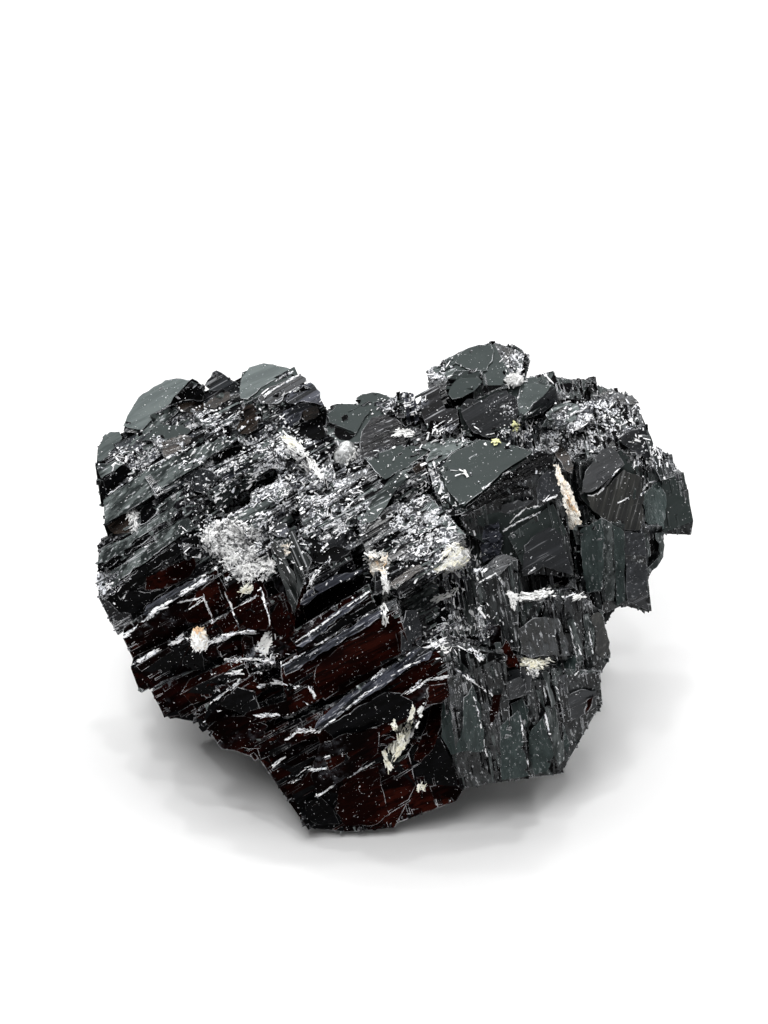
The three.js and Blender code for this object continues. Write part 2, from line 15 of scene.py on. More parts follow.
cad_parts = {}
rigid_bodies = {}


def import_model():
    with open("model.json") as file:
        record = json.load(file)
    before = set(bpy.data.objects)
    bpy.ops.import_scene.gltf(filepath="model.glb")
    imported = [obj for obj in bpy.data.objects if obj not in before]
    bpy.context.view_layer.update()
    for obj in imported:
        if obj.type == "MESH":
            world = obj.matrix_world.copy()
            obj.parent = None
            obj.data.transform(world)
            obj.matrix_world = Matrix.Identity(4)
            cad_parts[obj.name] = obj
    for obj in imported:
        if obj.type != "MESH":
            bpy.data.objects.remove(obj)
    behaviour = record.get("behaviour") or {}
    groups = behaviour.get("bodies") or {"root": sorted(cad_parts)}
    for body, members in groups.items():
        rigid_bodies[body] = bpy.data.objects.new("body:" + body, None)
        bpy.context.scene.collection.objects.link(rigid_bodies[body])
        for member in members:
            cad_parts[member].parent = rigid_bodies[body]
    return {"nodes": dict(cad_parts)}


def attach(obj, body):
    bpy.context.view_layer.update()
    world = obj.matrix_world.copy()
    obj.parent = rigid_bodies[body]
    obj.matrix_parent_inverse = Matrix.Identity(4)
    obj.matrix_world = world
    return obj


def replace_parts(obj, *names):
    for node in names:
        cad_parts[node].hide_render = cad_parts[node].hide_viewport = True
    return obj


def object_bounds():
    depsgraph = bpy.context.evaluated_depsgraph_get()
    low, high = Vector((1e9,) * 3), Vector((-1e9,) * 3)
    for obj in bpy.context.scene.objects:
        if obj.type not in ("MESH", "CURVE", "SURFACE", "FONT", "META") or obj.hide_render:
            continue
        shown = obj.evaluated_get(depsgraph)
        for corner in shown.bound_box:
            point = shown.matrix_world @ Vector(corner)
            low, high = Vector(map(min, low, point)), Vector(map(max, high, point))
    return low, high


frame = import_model()
CAD_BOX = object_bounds()
LOW, HIGH = np.array(CAD_BOX[0]), np.array(CAD_BOX[1])

MM = 0.001
VIEW_ELEVATION = math.radians(35)
RIGHT = np.array([1.0, 0.0, 0.0])
UP = np.array([0.0, math.sin(VIEW_ELEVATION), math.cos(VIEW_ELEVATION)])
OUT = np.array([0.0, -math.cos(VIEW_ELEVATION), math.sin(VIEW_ELEVATION)])
FRONT = np.stack([RIGHT, UP, OUT])

# The picture's frame
PICTURE_MM = 102.4  # what the taller side of the picture covers at the specimen
PICTURE_CENTRE = (-0.95, 31.8)  # the middle of the picture, as u and v
PICTURE_DEPTH = 14.0  # w of the plane that the picture's scale holds for
LENS = 150.0
SENSOR = 36.0
CLIP_START = 0.01  # in metres

ROOT = "root"
SPECIMEN = frame["nodes"]["cassiterite"]


def vertices_of(obj):
    """The vertices of an object's mesh, in millimetres, one row each."""
    co = np.empty(len(obj.data.vertices) * 3)
    obj.data.vertices.foreach_get("co", co)
    return co.reshape(-1, 3) / MM


BOTTOM_V = float((vertices_of(SPECIMEN) @ UP).min())


def to_world(points):
    """Points given as u, v, w in millimetres, as places in metres."""
    shifted = np.asarray(points, float) + np.array([0.0, BOTTOM_V, 0.0])
    return shifted @ FRONT * MM


def to_front(places):
    """Places in metres as u, v, w in millimetres."""
    return np.asarray(places, float) / MM @ FRONT.T - np.array([0.0, BOTTOM_V, 0.0])


# The surface that the details sit on

PROBES = [Vector((0.31, 0.24, 0.92)), Vector((-0.67, 0.43, 0.61))]  # the lines that tell inside from outside
PROBE_STEP = 1e-7  # how far past a crossing a line goes on, in metres
ABOVE_ALL = 100.0  # a w in front of the whole specimen


class Skin:
    """Triangles in metres, each with its material, the direction of its crystals and how bare it is."""

    def __init__(self, corners, kinds, angles, bare):
        self.corners, self.kinds, self.angles, self.bare = corners, kinds, angles, bare
        cross = np.cross(corners[:, 1] - corners[:, 0], corners[:, 2] - corners[:, 0])
        self.area = np.linalg.norm(cross, axis=1) / 2
        self.normals = cross / np.maximum(self.area[:, None] * 2, 1e-15)
        faces = np.arange(len(corners) * 3).reshape(-1, 3)
        self.tree = BVHTree.FromPolygons([Vector(p) for p in corners.reshape(-1, 3)], faces.tolist())

    def joined(self, other):
        """This skin and another one as one."""
        return Skin(*[np.concatenate([getattr(self, name), getattr(other, name)])
                      for name in ("corners", "kinds", "angles", "bare")])

    def part(self, chosen):
        """The chosen triangles as a skin of their own."""
        return Skin(self.corners[chosen], self.kinds[chosen], self.angles[chosen], self.bare[chosen])

    def feel(self, u, v):
        """Where the front surface is at u, v, its normal and its triangle, or None beside the specimen."""
        hit, normal, index, _ = self.tree.ray_cast(Vector(to_world([u, v, ABOVE_ALL])), Vector(-OUT))
        return None if hit is None else (np.array(hit), np.array(normal), index)

    def sample(self, rng, count):
        """Random triangles, by area, and a place on each."""
        pick = rng.choice(len(self.area), count, p=self.area / self.area.sum())
        a, b = rng.random(count), rng.random(count)
        flip = a + b > 1
        a[flip], b[flip] = 1 - a[flip], 1 - b[flip]
        first, second, third = self.corners[pick].transpose(1, 0, 2)
        return pick, first + a[:, None] * (second - first) + b[:, None] * (third - first)

    def crossings(self, place, line):
        """How often a line from a place crosses the surface."""
        count, hit = 0, Vector(place)
        while True:
            hit = self.tree.ray_cast(hit, line)[0]
            if hit is None:
                return count
            count += 1
            hit = hit + line * PROBE_STEP

    def encloses(self, place):
        """Whether a place is inside, by how often two lines from it cross the surface."""
        return all(self.crossings(place, line) % 2 for line in PROBES)


def triangles_of(obj):
    """The corners of an object's triangles, in metres."""
    obj.data.calc_loop_triangles()
    return (vertices_of(obj) * MM)[np.array([t.vertices[:] for t in obj.data.loop_triangles])]


def unit(vectors):
    """The vectors, each made one long."""
    return vectors / np.maximum(np.linalg.norm(vectors, axis=-1, keepdims=True), 1e-12)


# The two sides of the cluster, and the directions of their long crystals in the picture, in degrees

# The border between the sides: its u at a height v, and how far it leans for each millimetre up
DIVIDE_U = 5.0
DIVIDE_V = 20.0
DIVIDE_LEAN = 0.12
LEFT_ANGLE = 30.0
RIGHT_ANGLE = -79.0
FAN_ANGLE = -66.0
LEAF_ANGLE = 74.0


def is_right(front):
    """Whether places given as u, v, w belong to the right side's crystals."""
    return front[:, 0] > DIVIDE_U + DIVIDE_LEAN * (front[:, 1] - DIVIDE_V)


def direction(angles):
    """Unit vectors in the world for directions in the picture, in degrees."""
    turned = np.radians(angles)
    return np.cos(turned)[:, None] * RIGHT + np.sin(turned)[:, None] * UP


def lying_axes(normals, angles, tilts, twists):
    """Axes of crystals that lie on faces with these normals: along, across and up.

    Along runs in the face and, seen from the front, at the angle given. The crystal is then tilted about it
    by tilts, and turned in the face by twists, both in degrees.
    """
    across_picture = direction(angles + 90.0)
    along = unit(np.cross(across_picture, normals))
    along *= np.where((along * direction(angles)).sum(1) < 0, -1.0, 1.0)[:, None]
    across = np.cross(normals, along)
    twist = np.radians(twists)[:, None]
    cos, sin = np.cos(twist), np.sin(twist)
    along, across = along * cos + across * sin, across * cos - along * sin
    tilt = np.radians(tilts)[:, None]
    up = normals * np.cos(tilt) + across * np.sin(tilt)
    across = np.cross(up, along)
    return np.stack([along, across, up], axis=1)


def tumbled(rng, axes, degrees):
    """The axes, each turned at random by up to so many degrees about a random line."""
    lines = unit(rng.normal(size=(len(axes), 3)))
    angle = np.radians(degrees * rng.uniform(-1, 1, len(axes)))[:, None, None]
    cos, sin = np.cos(angle), np.sin(angle)
    k = lines[:, None, :]
    return axes * cos + np.cross(k, axes) * sin + k * (axes * k).sum(-1, keepdims=True) * (1 - cos)


# Each corner of a block as its end, side and face, and the block's six faces by corner
BLOCK_CORNERS = np.array([[e, s, f] for e in (-1, 1) for s in (-1, 1) for f in (-1, 1)], float)
BLOCK_FACES = np.array([[0, 1, 3, 2], [4, 6, 7, 5], [0, 4, 5, 1], [2, 3, 7, 6], [0, 2, 6, 4], [1, 5, 7, 3]])
NARROWING = (0.6, 1.0)  # how wide one end of a block is beside the other, least and most


def blocks_at(rng, centres, axes, sizes, ragged=0.12):
    """The corners of many small block crystals, with sizes in millimetres and corners moved a little."""
    corners = np.repeat(BLOCK_CORNERS[None], len(centres), axis=0)
    narrowing = rng.uniform(*NARROWING, (len(centres), 1, 2))
    corners[:, :, 1:] *= np.where(corners[:, :, :1] > 0, narrowing, 1.0)
    corners *= 1 + rng.uniform(-ragged, ragged, corners.shape)
    local = corners * (sizes[:, None, :] * MM / 2)
    return centres[:, None, :] + np.einsum("nck,nkj->ncj", local, axes)


def seated(places, normals, axes, sizes, proud):
    """Centres of blocks that stand out of the surface by proud, in millimetres."""
    reach = (np.abs(np.einsum("nkj,nj->nk", axes, normals)) * sizes / 2).sum(1)
    return places + normals * ((proud - reach) * MM)[:, None]


def link_piece(name, mesh):
    """A mesh as an object that rides on the specimen."""
    obj = bpy.data.objects.new(name, mesh)
    bpy.context.scene.collection.objects.link(obj)
    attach(obj, ROOT)
    return obj


def add_piece(name, places, faces, materials, kinds=None):
    """A piece from corners and faces. kinds gives each face's material."""
    mesh = bpy.data.meshes.new(name)
    mesh.from_pydata(places.tolist(), [], [list(face) for face in faces])
    for material in materials:
        mesh.materials.append(material)
    if kinds is not None:
        mesh.polygons.foreach_set("material_index", np.asarray(kinds, np.int32))
    mesh.update()
    return link_piece(name, mesh)


def inside_box(blocks):
    """Which blocks lie wholly inside the specimen's box."""
    return ((blocks >= LOW) & (blocks <= HIGH)).all((1, 2))


def add_blocks(name, blocks, materials, kinds=None):
    """A piece made of blocks. kinds gives each block's material."""
    faces = BLOCK_FACES[None] + len(BLOCK_CORNERS) * np.arange(len(blocks))[:, None, None]
    if kinds is not None:
        kinds = np.repeat(kinds, len(BLOCK_FACES))
    return add_piece(name, blocks.reshape(-1, 3), faces.reshape(-1, 4), materials, kinds)


def add_crystals(name, blocks, kinds):
    """A piece of the cluster, made of blocks."""
    add_blocks(name, blocks, CRUST.values(), kinds)


# Materials

class Nodes:
    """A material's node tree, with short ways to add and link nodes."""

    def __init__(self, name):
        self.material = bpy.data.materials.new(name)
        self.material.use_nodes = True
        self.tree = self.material.node_tree
        self.shader = self.tree.nodes["Principled BSDF"]
        self.objects = self.add("ShaderNodeTexCoord").outputs["Object"]

    def add(self, kind, inputs=None, **settings):
        """A new node, with its settings and its inputs as values or as links."""
        node = self.tree.nodes.new(kind)
        for key, value in settings.items():
            setattr(node, key, value)
        for key, value in (inputs or {}).items():
            if isinstance(value, bpy.types.NodeSocket):
                self.tree.links.new(value, node.inputs[key])
            else:
                node.inputs[key].default_value = value
        return node

    def set(self, **values):
        """Sets or links the shader's own sockets."""
        for key, value in values.items():
            name = key.replace("_", " ").title().replace("Ior", "IOR")
            if isinstance(value, bpy.types.NodeSocket):
                self.tree.links.new(value, self.shader.inputs[name])
            else:
                self.shader.inputs[name].default_value = value

    def math(self, operation, a, b, clamp=False):
        """What an operation makes of two values."""
        node = self.add("ShaderNodeMath", {0: a, 1: b}, operation=operation, use_clamp=clamp)
        return node.outputs[0]

    def dot(self, a, b):
        """How far one vector points along another."""
        return self.add("ShaderNodeVectorMath", {0: a, 1: b}, operation="DOT_PRODUCT").outputs["Value"]

    def ramp(self, value, low, high, start=0.0, end=1.0, smooth=True):
        """A value from low to high as one from start to end, and no further at either end."""
        kind = "SMOOTHSTEP" if smooth else "LINEAR"
        inputs = {0: value, 1: low, 2: high, 3: start, 4: end}
        return self.add("ShaderNodeMapRange", inputs, interpolation_type=kind).outputs[0]

    def mix(self, share, a, b):
        """The colour a where share is 0 and b where it is 1."""
        node = self.add("ShaderNodeMix", data_type="RGBA")
        for socket, value in ((0, share), (6, a), (7, b)):
            if isinstance(value, bpy.types.NodeSocket):
                self.tree.links.new(value, node.inputs[socket])
            else:
                node.inputs[socket].default_value = value
        return node.outputs[2]

    def noise(self, scale, detail=2.0, rough=0.5, vector=None):
        """Noise from 0 to 1, with so many waves per metre."""
        node = self.add("ShaderNodeTexNoise", {
            "Vector": vector or self.objects, "Scale": scale, "Detail": detail, "Roughness": rough})
        return node.outputs["Fac"]

    def cells(self, scale):
        """How far a place is from the middle of its cell, in many small cells."""
        node = self.add("ShaderNodeTexVoronoi", {"Vector": self.objects, "Scale": scale})
        return node.outputs["Distance"]

    def along(self, axes, stretch):
        """Object coordinates with x along the crystals, in which x is squeezed by stretch."""
        turned = Matrix(axes.tolist()).to_euler()
        aligned = self.add("ShaderNodeMapping", {"Vector": self.objects, "Rotation": turned})
        squeezed = self.add("ShaderNodeMapping", {"Vector": aligned.outputs[0], "Scale": (stretch, 1.0, 1.0)})
        return squeezed.outputs[0]

    def bump(self, height, distance, strength, normal=None):
        """A relief so many millimetres deep, over another one if given."""
        inputs = {"Height": height, "Distance": distance * MM, "Strength": strength}
        if normal is not None:
            inputs["Normal"] = normal
        return self.add("ShaderNodeBump", inputs).outputs[0]


def rgb(red, green, blue):
    return (red, green, blue, 1.0)


def picture_axes(angle):
    """Axes along a direction in the picture, across it and out of the picture."""
    along = direction(np.array([angle]))[0]
    across = direction(np.array([angle + 90.0]))[0]
    return np.stack([along, across, OUT])


WHITE_TINT = rgb(1.0, 1.0, 1.0)
RED_TINT = rgb(1.0, 0.5, 0.42)
TEAL_TINT = rgb(0.86, 1.0, 0.99)
# the white of powder, also used for the painted highlights on edges and striae
POWDER_AND_GLINT_WHITE = rgb(0.8, 0.81, 0.84)
# a bluish mid grey painted over crushed areas as the reflection seen between the chips
CRUSHED_PAINTED_REFLECTION = rgb(0.1, 0.105, 0.12)
BEVEL_MM = 0.14  # how wide a pale edge line is, partly wear and partly painted highlight
SHARP_EDGE, FLAT_FACE = 0.86, 0.985  # how far the bevel turns a face's direction at an edge, as a cosine
# The scales of the noise in the crystals, in waves per metre
FINE_STRIAE, WIDE_STRIAE = 3600.0, 1100.0
POWDER_GRAINS, POWDER_CLUMPS, POWDER_FIELDS = 4300.0, 900.0, 230.0
EDGE_BREAKS, EDGE_STRETCHES = 620.0, 170.0
TONE_BLOTCHES, GLOSS_BLOTCHES, REFLECTION_BLOTCHES = 170.0, 420.0, 1500.0
CRUSHED_BORDER, GLITTER_CELLS, SURFACE_WAVES = 520.0, 3800.0, 1500.0
STRIA_STRETCH = 0.03  # striae are so much finer across the crystals than along them
STRIA_DEPTH, WAVE_DEPTH, GLITTER_DEPTH = 0.11, 0.02, 0.12  # in millimetres
# Crushed, glittering areas of the front: u, v and their half widths
CRUSHED = [(2.9, 31.2, 3.0, 4.4), (-14.6, 34.6, 3.4, 2.2), (-9.8, 33.4, 2.6, 2.2), (-18.5, 41.0, 3.2, 1.4),
           (-6.6, 31.8, 3.8, 4.6), (-15.6, 36.0, 5.0, 3.6), (20.6, 41.2, 3.8, 2.0),
           (-26.2, 37.4, 2.2, 1.3), (0.6, 42.6, 2.6, 0.9), (-14.8, 29.6, 4.4, 3.0), (6.2, 39.4, 2.6, 1.0),
           (12.2, 40.4, 1.8, 1.8), (-10.6, 38.4, 3.2, 2.6), (17.0, 38.6, 3.4, 1.4), (5.6, 26.6, 3.0, 1.8),
           (25.6, 38.2, 1.6, 1.8), (6.8, 20.4, 2.8, 1.6), (-22.4, 38.6, 2.6, 1.6), (4.6, 46.2, 1.4, 1.0),
           (12.6, 46.6, 1.2, 1.2), (-28.2, 24.6, 1.3, 1.2), (-12.8, 17.6, 1.4, 1.2)]


def crushed_share(nodes):
    """How crushed a place is, from 0 to 1, with ragged borders."""
    ragged = nodes.ramp(nodes.noise(CRUSHED_BORDER, 3.0, 0.6), 0.3, 0.7, -0.35, 0.35, smooth=False)
    place = [nodes.dot(nodes.objects, tuple(axis / MM)) for axis in (RIGHT, UP)]
    nearest = None
    for u, v, half_u, half_v in CRUSHED:
        offs = [nodes.math("DIVIDE", nodes.math("SUBTRACT", at, middle), half)
                for at, middle, half in zip(place, (u, v + BOTTOM_V), (half_u, half_v))]
        squares = [nodes.math("MULTIPLY", off, off) for off in offs]
        spread = nodes.math("ADD", *squares)
        nearest = spread if nearest is None else nodes.math("MINIMUM", nearest, spread)
    return nodes.ramp(nodes.math("ADD", nearest, ragged), 1.5, 0.5)


def edge_wear_and_highlight(nodes):
    """How much of a pale edge line a place is, partly wear and partly painted highlight: 1 along sharp edges,
    in broken stretches.
    """
    bevel = nodes.add("ShaderNodeBevel", {"Radius": BEVEL_MM * MM}, samples=4).outputs[0]
    turned = nodes.dot(bevel, nodes.add("ShaderNodeNewGeometry").outputs["True Normal"])
    edge = nodes.ramp(turned, FLAT_FACE, SHARP_EDGE)
    broken = nodes.ramp(nodes.noise(EDGE_BREAKS, 4.0, 0.7), 0.45, 0.58)
    stretches = nodes.ramp(nodes.noise(EDGE_STRETCHES, 2.0, 0.5), 0.46, 0.6, 0.12, 1.0)
    return nodes.math("MULTIPLY", edge, nodes.math("MULTIPLY", broken, stretches))


def white_share(nodes, fine, rough_share, edge_wear_and_glint, powder, stria_glint_share):
    """How white a place is, from its edges (partly wear, partly painted highlight), striae painted white as
    highlights, and powder.
    """
    edges = nodes.math("MULTIPLY", edge_wear_and_highlight(nodes), edge_wear_and_glint)
    # striae painted white as highlights
    painted_stria_glint = nodes.ramp(fine, 0.62, 0.67, 0.0, stria_glint_share)
    clumps = nodes.ramp(nodes.noise(POWDER_CLUMPS, 2.0, 0.6), 0.36, 0.6, 0.0, 0.26)
    grains = nodes.noise(POWDER_GRAINS, 2.0, 0.65)
    grains = nodes.math("ADD", grains, nodes.math("MULTIPLY", rough_share, clumps))
    dust = nodes.math("MULTIPLY", nodes.ramp(grains, 0.68, 0.75), powder)
    return nodes.math("ADD", nodes.math("MAXIMUM", edges, painted_stria_glint), dust, clamp=True)


def crystal(name, angle, dark, pale, ior, rough, stria, edge_wear_and_glint=0.6, powder=1.0, tint=WHITE_TINT, stria_glint_share=0.0,
            crushed=True, murky=0.0):
    """Glassy crystal, striated along a direction in the picture, with pale edges that are partly wear and
    partly painted highlight, and white powder.

    stria is how deep the striae are, and the highlight setting how many striae are painted white as
    highlights.
    crushed adds the glittering areas of the front, with a bluish grey painted in there as reflection, and
    murky is how far broad blotches fade to the dark tone.
    """
    nodes = Nodes(name)
    streaked = nodes.along(picture_axes(angle), STRIA_STRETCH)
    fine = nodes.noise(FINE_STRIAE, 2.0, 0.6, vector=streaked)
    wide = nodes.noise(WIDE_STRIAE, 2.0, 0.5, vector=streaked)
    lines = nodes.math("ADD", nodes.math("MULTIPLY", fine, 0.7), wide)
    rough_share = nodes.ramp(nodes.noise(POWDER_FIELDS, 3.0, 0.65), 0.55, 0.75, 0.0, 0.5)
    if crushed:
        rough_share = nodes.math("MAXIMUM", crushed_share(nodes), rough_share)
    white = white_share(nodes, fine, rough_share, edge_wear_and_glint, powder, stria_glint_share)
    blotches = nodes.ramp(nodes.noise(TONE_BLOTCHES, 3.0, 0.6), 0.4, 0.6, 1.0 - murky, 1.0)
    tone = nodes.mix(nodes.math("MULTIPLY", nodes.ramp(lines, 0.72, 1.0), blotches), dark, pale)
    if crushed:
        # the crushed areas are blotched with a bluish grey that is painted reflection
        painted_reflection = nodes.ramp(nodes.noise(REFLECTION_BLOTCHES, 3.0, 0.7), 0.4, 0.6)
        tone = nodes.mix(nodes.math("MULTIPLY", rough_share, painted_reflection), tone, CRUSHED_PAINTED_REFLECTION)
    gloss = nodes.ramp(nodes.noise(GLOSS_BLOTCHES, 3.0, 0.6), 0.35, 0.7, rough, rough + 0.14)
    waves = nodes.bump(nodes.noise(SURFACE_WAVES, 3.0, 0.7), WAVE_DEPTH, 0.5)
    striae = nodes.bump(lines, STRIA_DEPTH * stria, 0.8, normal=waves)
    glitter = nodes.math("MULTIPLY", nodes.cells(GLITTER_CELLS), rough_share)
    nodes.set(
        # white for powder, and for painted highlights on edges and striae
        base_color=nodes.mix(white, tone, POWDER_AND_GLINT_WHITE),
        roughness=nodes.math("ADD", gloss, nodes.math("MULTIPLY", white, 0.3)),
        ior=ior,
        specular_tint=tint,
        normal=nodes.bump(glitter, GLITTER_DEPTH, 0.9, normal=striae),
    )
    return nodes.material


def glittering():
    """Crushed crystal whose tiny faces point all ways, with white powder between them."""
    nodes = Nodes("glittering crust")
    powder = nodes.ramp(nodes.noise(3400.0, 2.0, 0.7), 0.48, 0.56)
    patches = nodes.ramp(nodes.noise(620.0, 2.0, 0.6), 0.46, 0.6)
    white = nodes.math("MULTIPLY", powder, patches)
    nodes.set(
        base_color=nodes.mix(white, rgb(0.035, 0.037, 0.043), rgb(0.88, 0.89, 0.92)),
        roughness=nodes.ramp(white, 0.0, 1.0, 0.14, 0.5),
        ior=2.0,
        normal=nodes.bump(nodes.cells(4200.0), 0.05, 0.9),
    )
    return nodes.material


def worn(name, dark, pale, low, high):
    """Crystal blotched between two tones, used for white powder and for ridges whose white is partly wear and
    partly painted highlight.
    """
    nodes = Nodes(name)
    nodes.set(
        base_color=nodes.mix(nodes.ramp(nodes.noise(2600.0, 3.0, 0.7), low, high), dark, pale),
        roughness=nodes.ramp(nodes.noise(1700.0), 0.3, 0.7, 0.3, 0.5),
        ior=1.8,
        normal=nodes.bump(nodes.noise(3800.0, 3.0, 0.6), 0.05, 0.8),
    )
    return nodes.material


# Each material of the cluster: the direction of its striae, its dark and pale tones, its index of refraction,
# its roughness and how deep its striae are
CRUST = {
    # Each side's crystals come as two copies: the one for faces that look up is painted lit, and the darker
    # one for the other faces is painted shade
    "left": crystal("left crystals, painted lit", LEFT_ANGLE, rgb(0.004, 0.0045, 0.005), rgb(0.04, 0.044, 0.05),
                    1.5, 0.16, 1.0, edge_wear_and_glint=0.8, stria_glint_share=0.4),
    "right": crystal("right crystals, painted lit", RIGHT_ANGLE, rgb(0.005, 0.006, 0.006),
                     rgb(0.036, 0.04, 0.044), 1.45, 0.18, 1.0, edge_wear_and_glint=0.7, stria_glint_share=0.35),
    "left dark": crystal("left crystals, painted shade", LEFT_ANGLE, rgb(0.0015, 0.0015, 0.002),
                         rgb(0.014, 0.014, 0.016), 1.2, 0.16, 1.0, edge_wear_and_glint=0.9, powder=0.75, stria_glint_share=0.3),
    "right painted shade": crystal("right crystals, painted shade", RIGHT_ANGLE, rgb(0.003, 0.0035, 0.004),
                          rgb(0.03, 0.033, 0.034), 1.3, 0.2, 1.0, stria_glint_share=0.3),
    "red": crystal("red glass", LEFT_ANGLE, rgb(0.001, 0.0004, 0.0004), rgb(0.008, 0.0014, 0.0011),
                   1.05, 0.14, 0.2, edge_wear_and_glint=0.7, powder=0.6, tint=RED_TINT, murky=1.0),
    "red clear": crystal("clear red-brown glass", LEFT_ANGLE, rgb(0.0035, 0.0008, 0.0006),
                         rgb(0.02, 0.0036, 0.0022), 1.05, 0.14, 0.2, powder=0.6, tint=RED_TINT, crushed=False,
                         murky=0.9),
    "brown": crystal("brown glass", LEFT_ANGLE, rgb(0.004, 0.003, 0.0025), rgb(0.026, 0.019, 0.015),
                     1.35, 0.16, 0.4, crushed=False),
    "ink": crystal("black glass", LEFT_ANGLE, rgb(0.001, 0.001, 0.001), rgb(0.0025, 0.0025, 0.003),
                   1.08, 0.12, 0.3, edge_wear_and_glint=0.7, powder=0.7, crushed=False),
    "slate": crystal("dark slate faces", LEFT_ANGLE, rgb(0.015, 0.0162, 0.018), rgb(0.025, 0.0268, 0.03),
                     1.3, 0.24, 0.3, powder=0.9, stria_glint_share=0.12, crushed=False),
    "slate ridge": crystal("slate-blue ridges", LEFT_ANGLE, rgb(0.004, 0.005, 0.007), rgb(0.06, 0.064, 0.082),
                           1.3, 0.2, 1.0, edge_wear_and_glint=0.5, stria_glint_share=0.3, crushed=False),
    # The smooth, tablet, pale and teal faces get their grey-green sheen partly as painted reflection in their
    # tone and partly from real gloss
    "smooth": crystal("smooth faces, grey-green painted sheen", LEFT_ANGLE, rgb(0.018, 0.023, 0.022),
                      rgb(0.021, 0.0255, 0.025), 1.34, 0.3, 0.08, edge_wear_and_glint=0.8, powder=0.6, tint=TEAL_TINT,
                      crushed=False),
    "tablet": crystal("tablets, painted sheen", LEFT_ANGLE, rgb(0.06, 0.07, 0.07), rgb(0.1, 0.115, 0.113),
                      1.45, 0.34, 0.1, tint=TEAL_TINT, crushed=False),
    "pale left": crystal("striated faces, left, painted sheen", LEFT_ANGLE, rgb(0.018, 0.0215, 0.0215),
                         rgb(0.12, 0.138, 0.135), 1.34, 0.26, 1.0, edge_wear_and_glint=0.8, tint=TEAL_TINT, stria_glint_share=0.45,
                         crushed=False),
    "pale right": crystal("striated faces, right, painted sheen", RIGHT_ANGLE, rgb(0.008, 0.01, 0.01),
                          rgb(0.065, 0.072, 0.072), 1.28, 0.26, 1.0, edge_wear_and_glint=0.5, tint=TEAL_TINT, stria_glint_share=0.25,
                          crushed=False),
    "teal": crystal("dark faces, teal painted sheen", RIGHT_ANGLE, rgb(0.009, 0.014, 0.0138), rgb(0.022, 0.031, 0.03),
                    1.3, 0.26, 0.5, edge_wear_and_glint=0.5, powder=0.8, tint=TEAL_TINT, stria_glint_share=0.12, crushed=False),
    "fan": crystal("striated fan", FAN_ANGLE, rgb(0.004, 0.005, 0.005), rgb(0.05, 0.055, 0.055),
                   1.3, 0.24, 1.0, edge_wear_and_glint=0.7, stria_glint_share=0.3, crushed=False),
    "leaf": crystal("striated leaf", LEAF_ANGLE, rgb(0.017, 0.0175, 0.0175), rgb(0.038, 0.038, 0.035),
                    1.35, 0.28, 0.8, powder=0.6, stria_glint_share=0.1, crushed=False),
    "glitter": glittering(),
    # pale blotched crystal for ridges and shards: partly wear, partly painted highlights
    "worn": worn("ridges with wear and painted highlights", rgb(0.012, 0.013, 0.016), rgb(0.85, 0.87, 0.92), 0.42, 0.56),
    "frost": worn("white powder", rgb(0.62, 0.63, 0.66), rgb(0.97, 0.97, 0.98), 0.3, 0.5),
}
KIND = {name: index for index, name in enumerate(CRUST)}


# The front's extent, as u and v
FRONT_LOW = (-30.0, -0.5)
FRONT_HIGH = (30.3, 49.5)
# Smooth areas of the front: u, v and their half widths
CALM = [(9.6, 35.6, 5.2, 2.6), (8.6, 46.0, 3.4, 1.8), (13.9, 43.8, 2.6, 1.5), (9.2, 41.3, 2.6, 2.4),
        (21.6, 33.2, 2.6, 3.2), (12.6, 29.4, 3.4, 3.6), (28.4, 32.8, 1.5, 2.4), (-25.2, 42.2, 2.2, 2.0),
        (-13.2, 44.9, 2.4, 1.4), (-4.2, 41.0, 2.6, 1.4)]
# The outline of the red glass, as u and v
RED_AREA = [(-27.6, 19.6), (-19.4, 25.6), (-10.6, 25.4), (-2.6, 23.4), (4.4, 18.4), (4.6, 12.0), (7.0, 3.6),
            (-4.0, -1.0), (-12.0, -1.0), (-24.6, 8.6)]


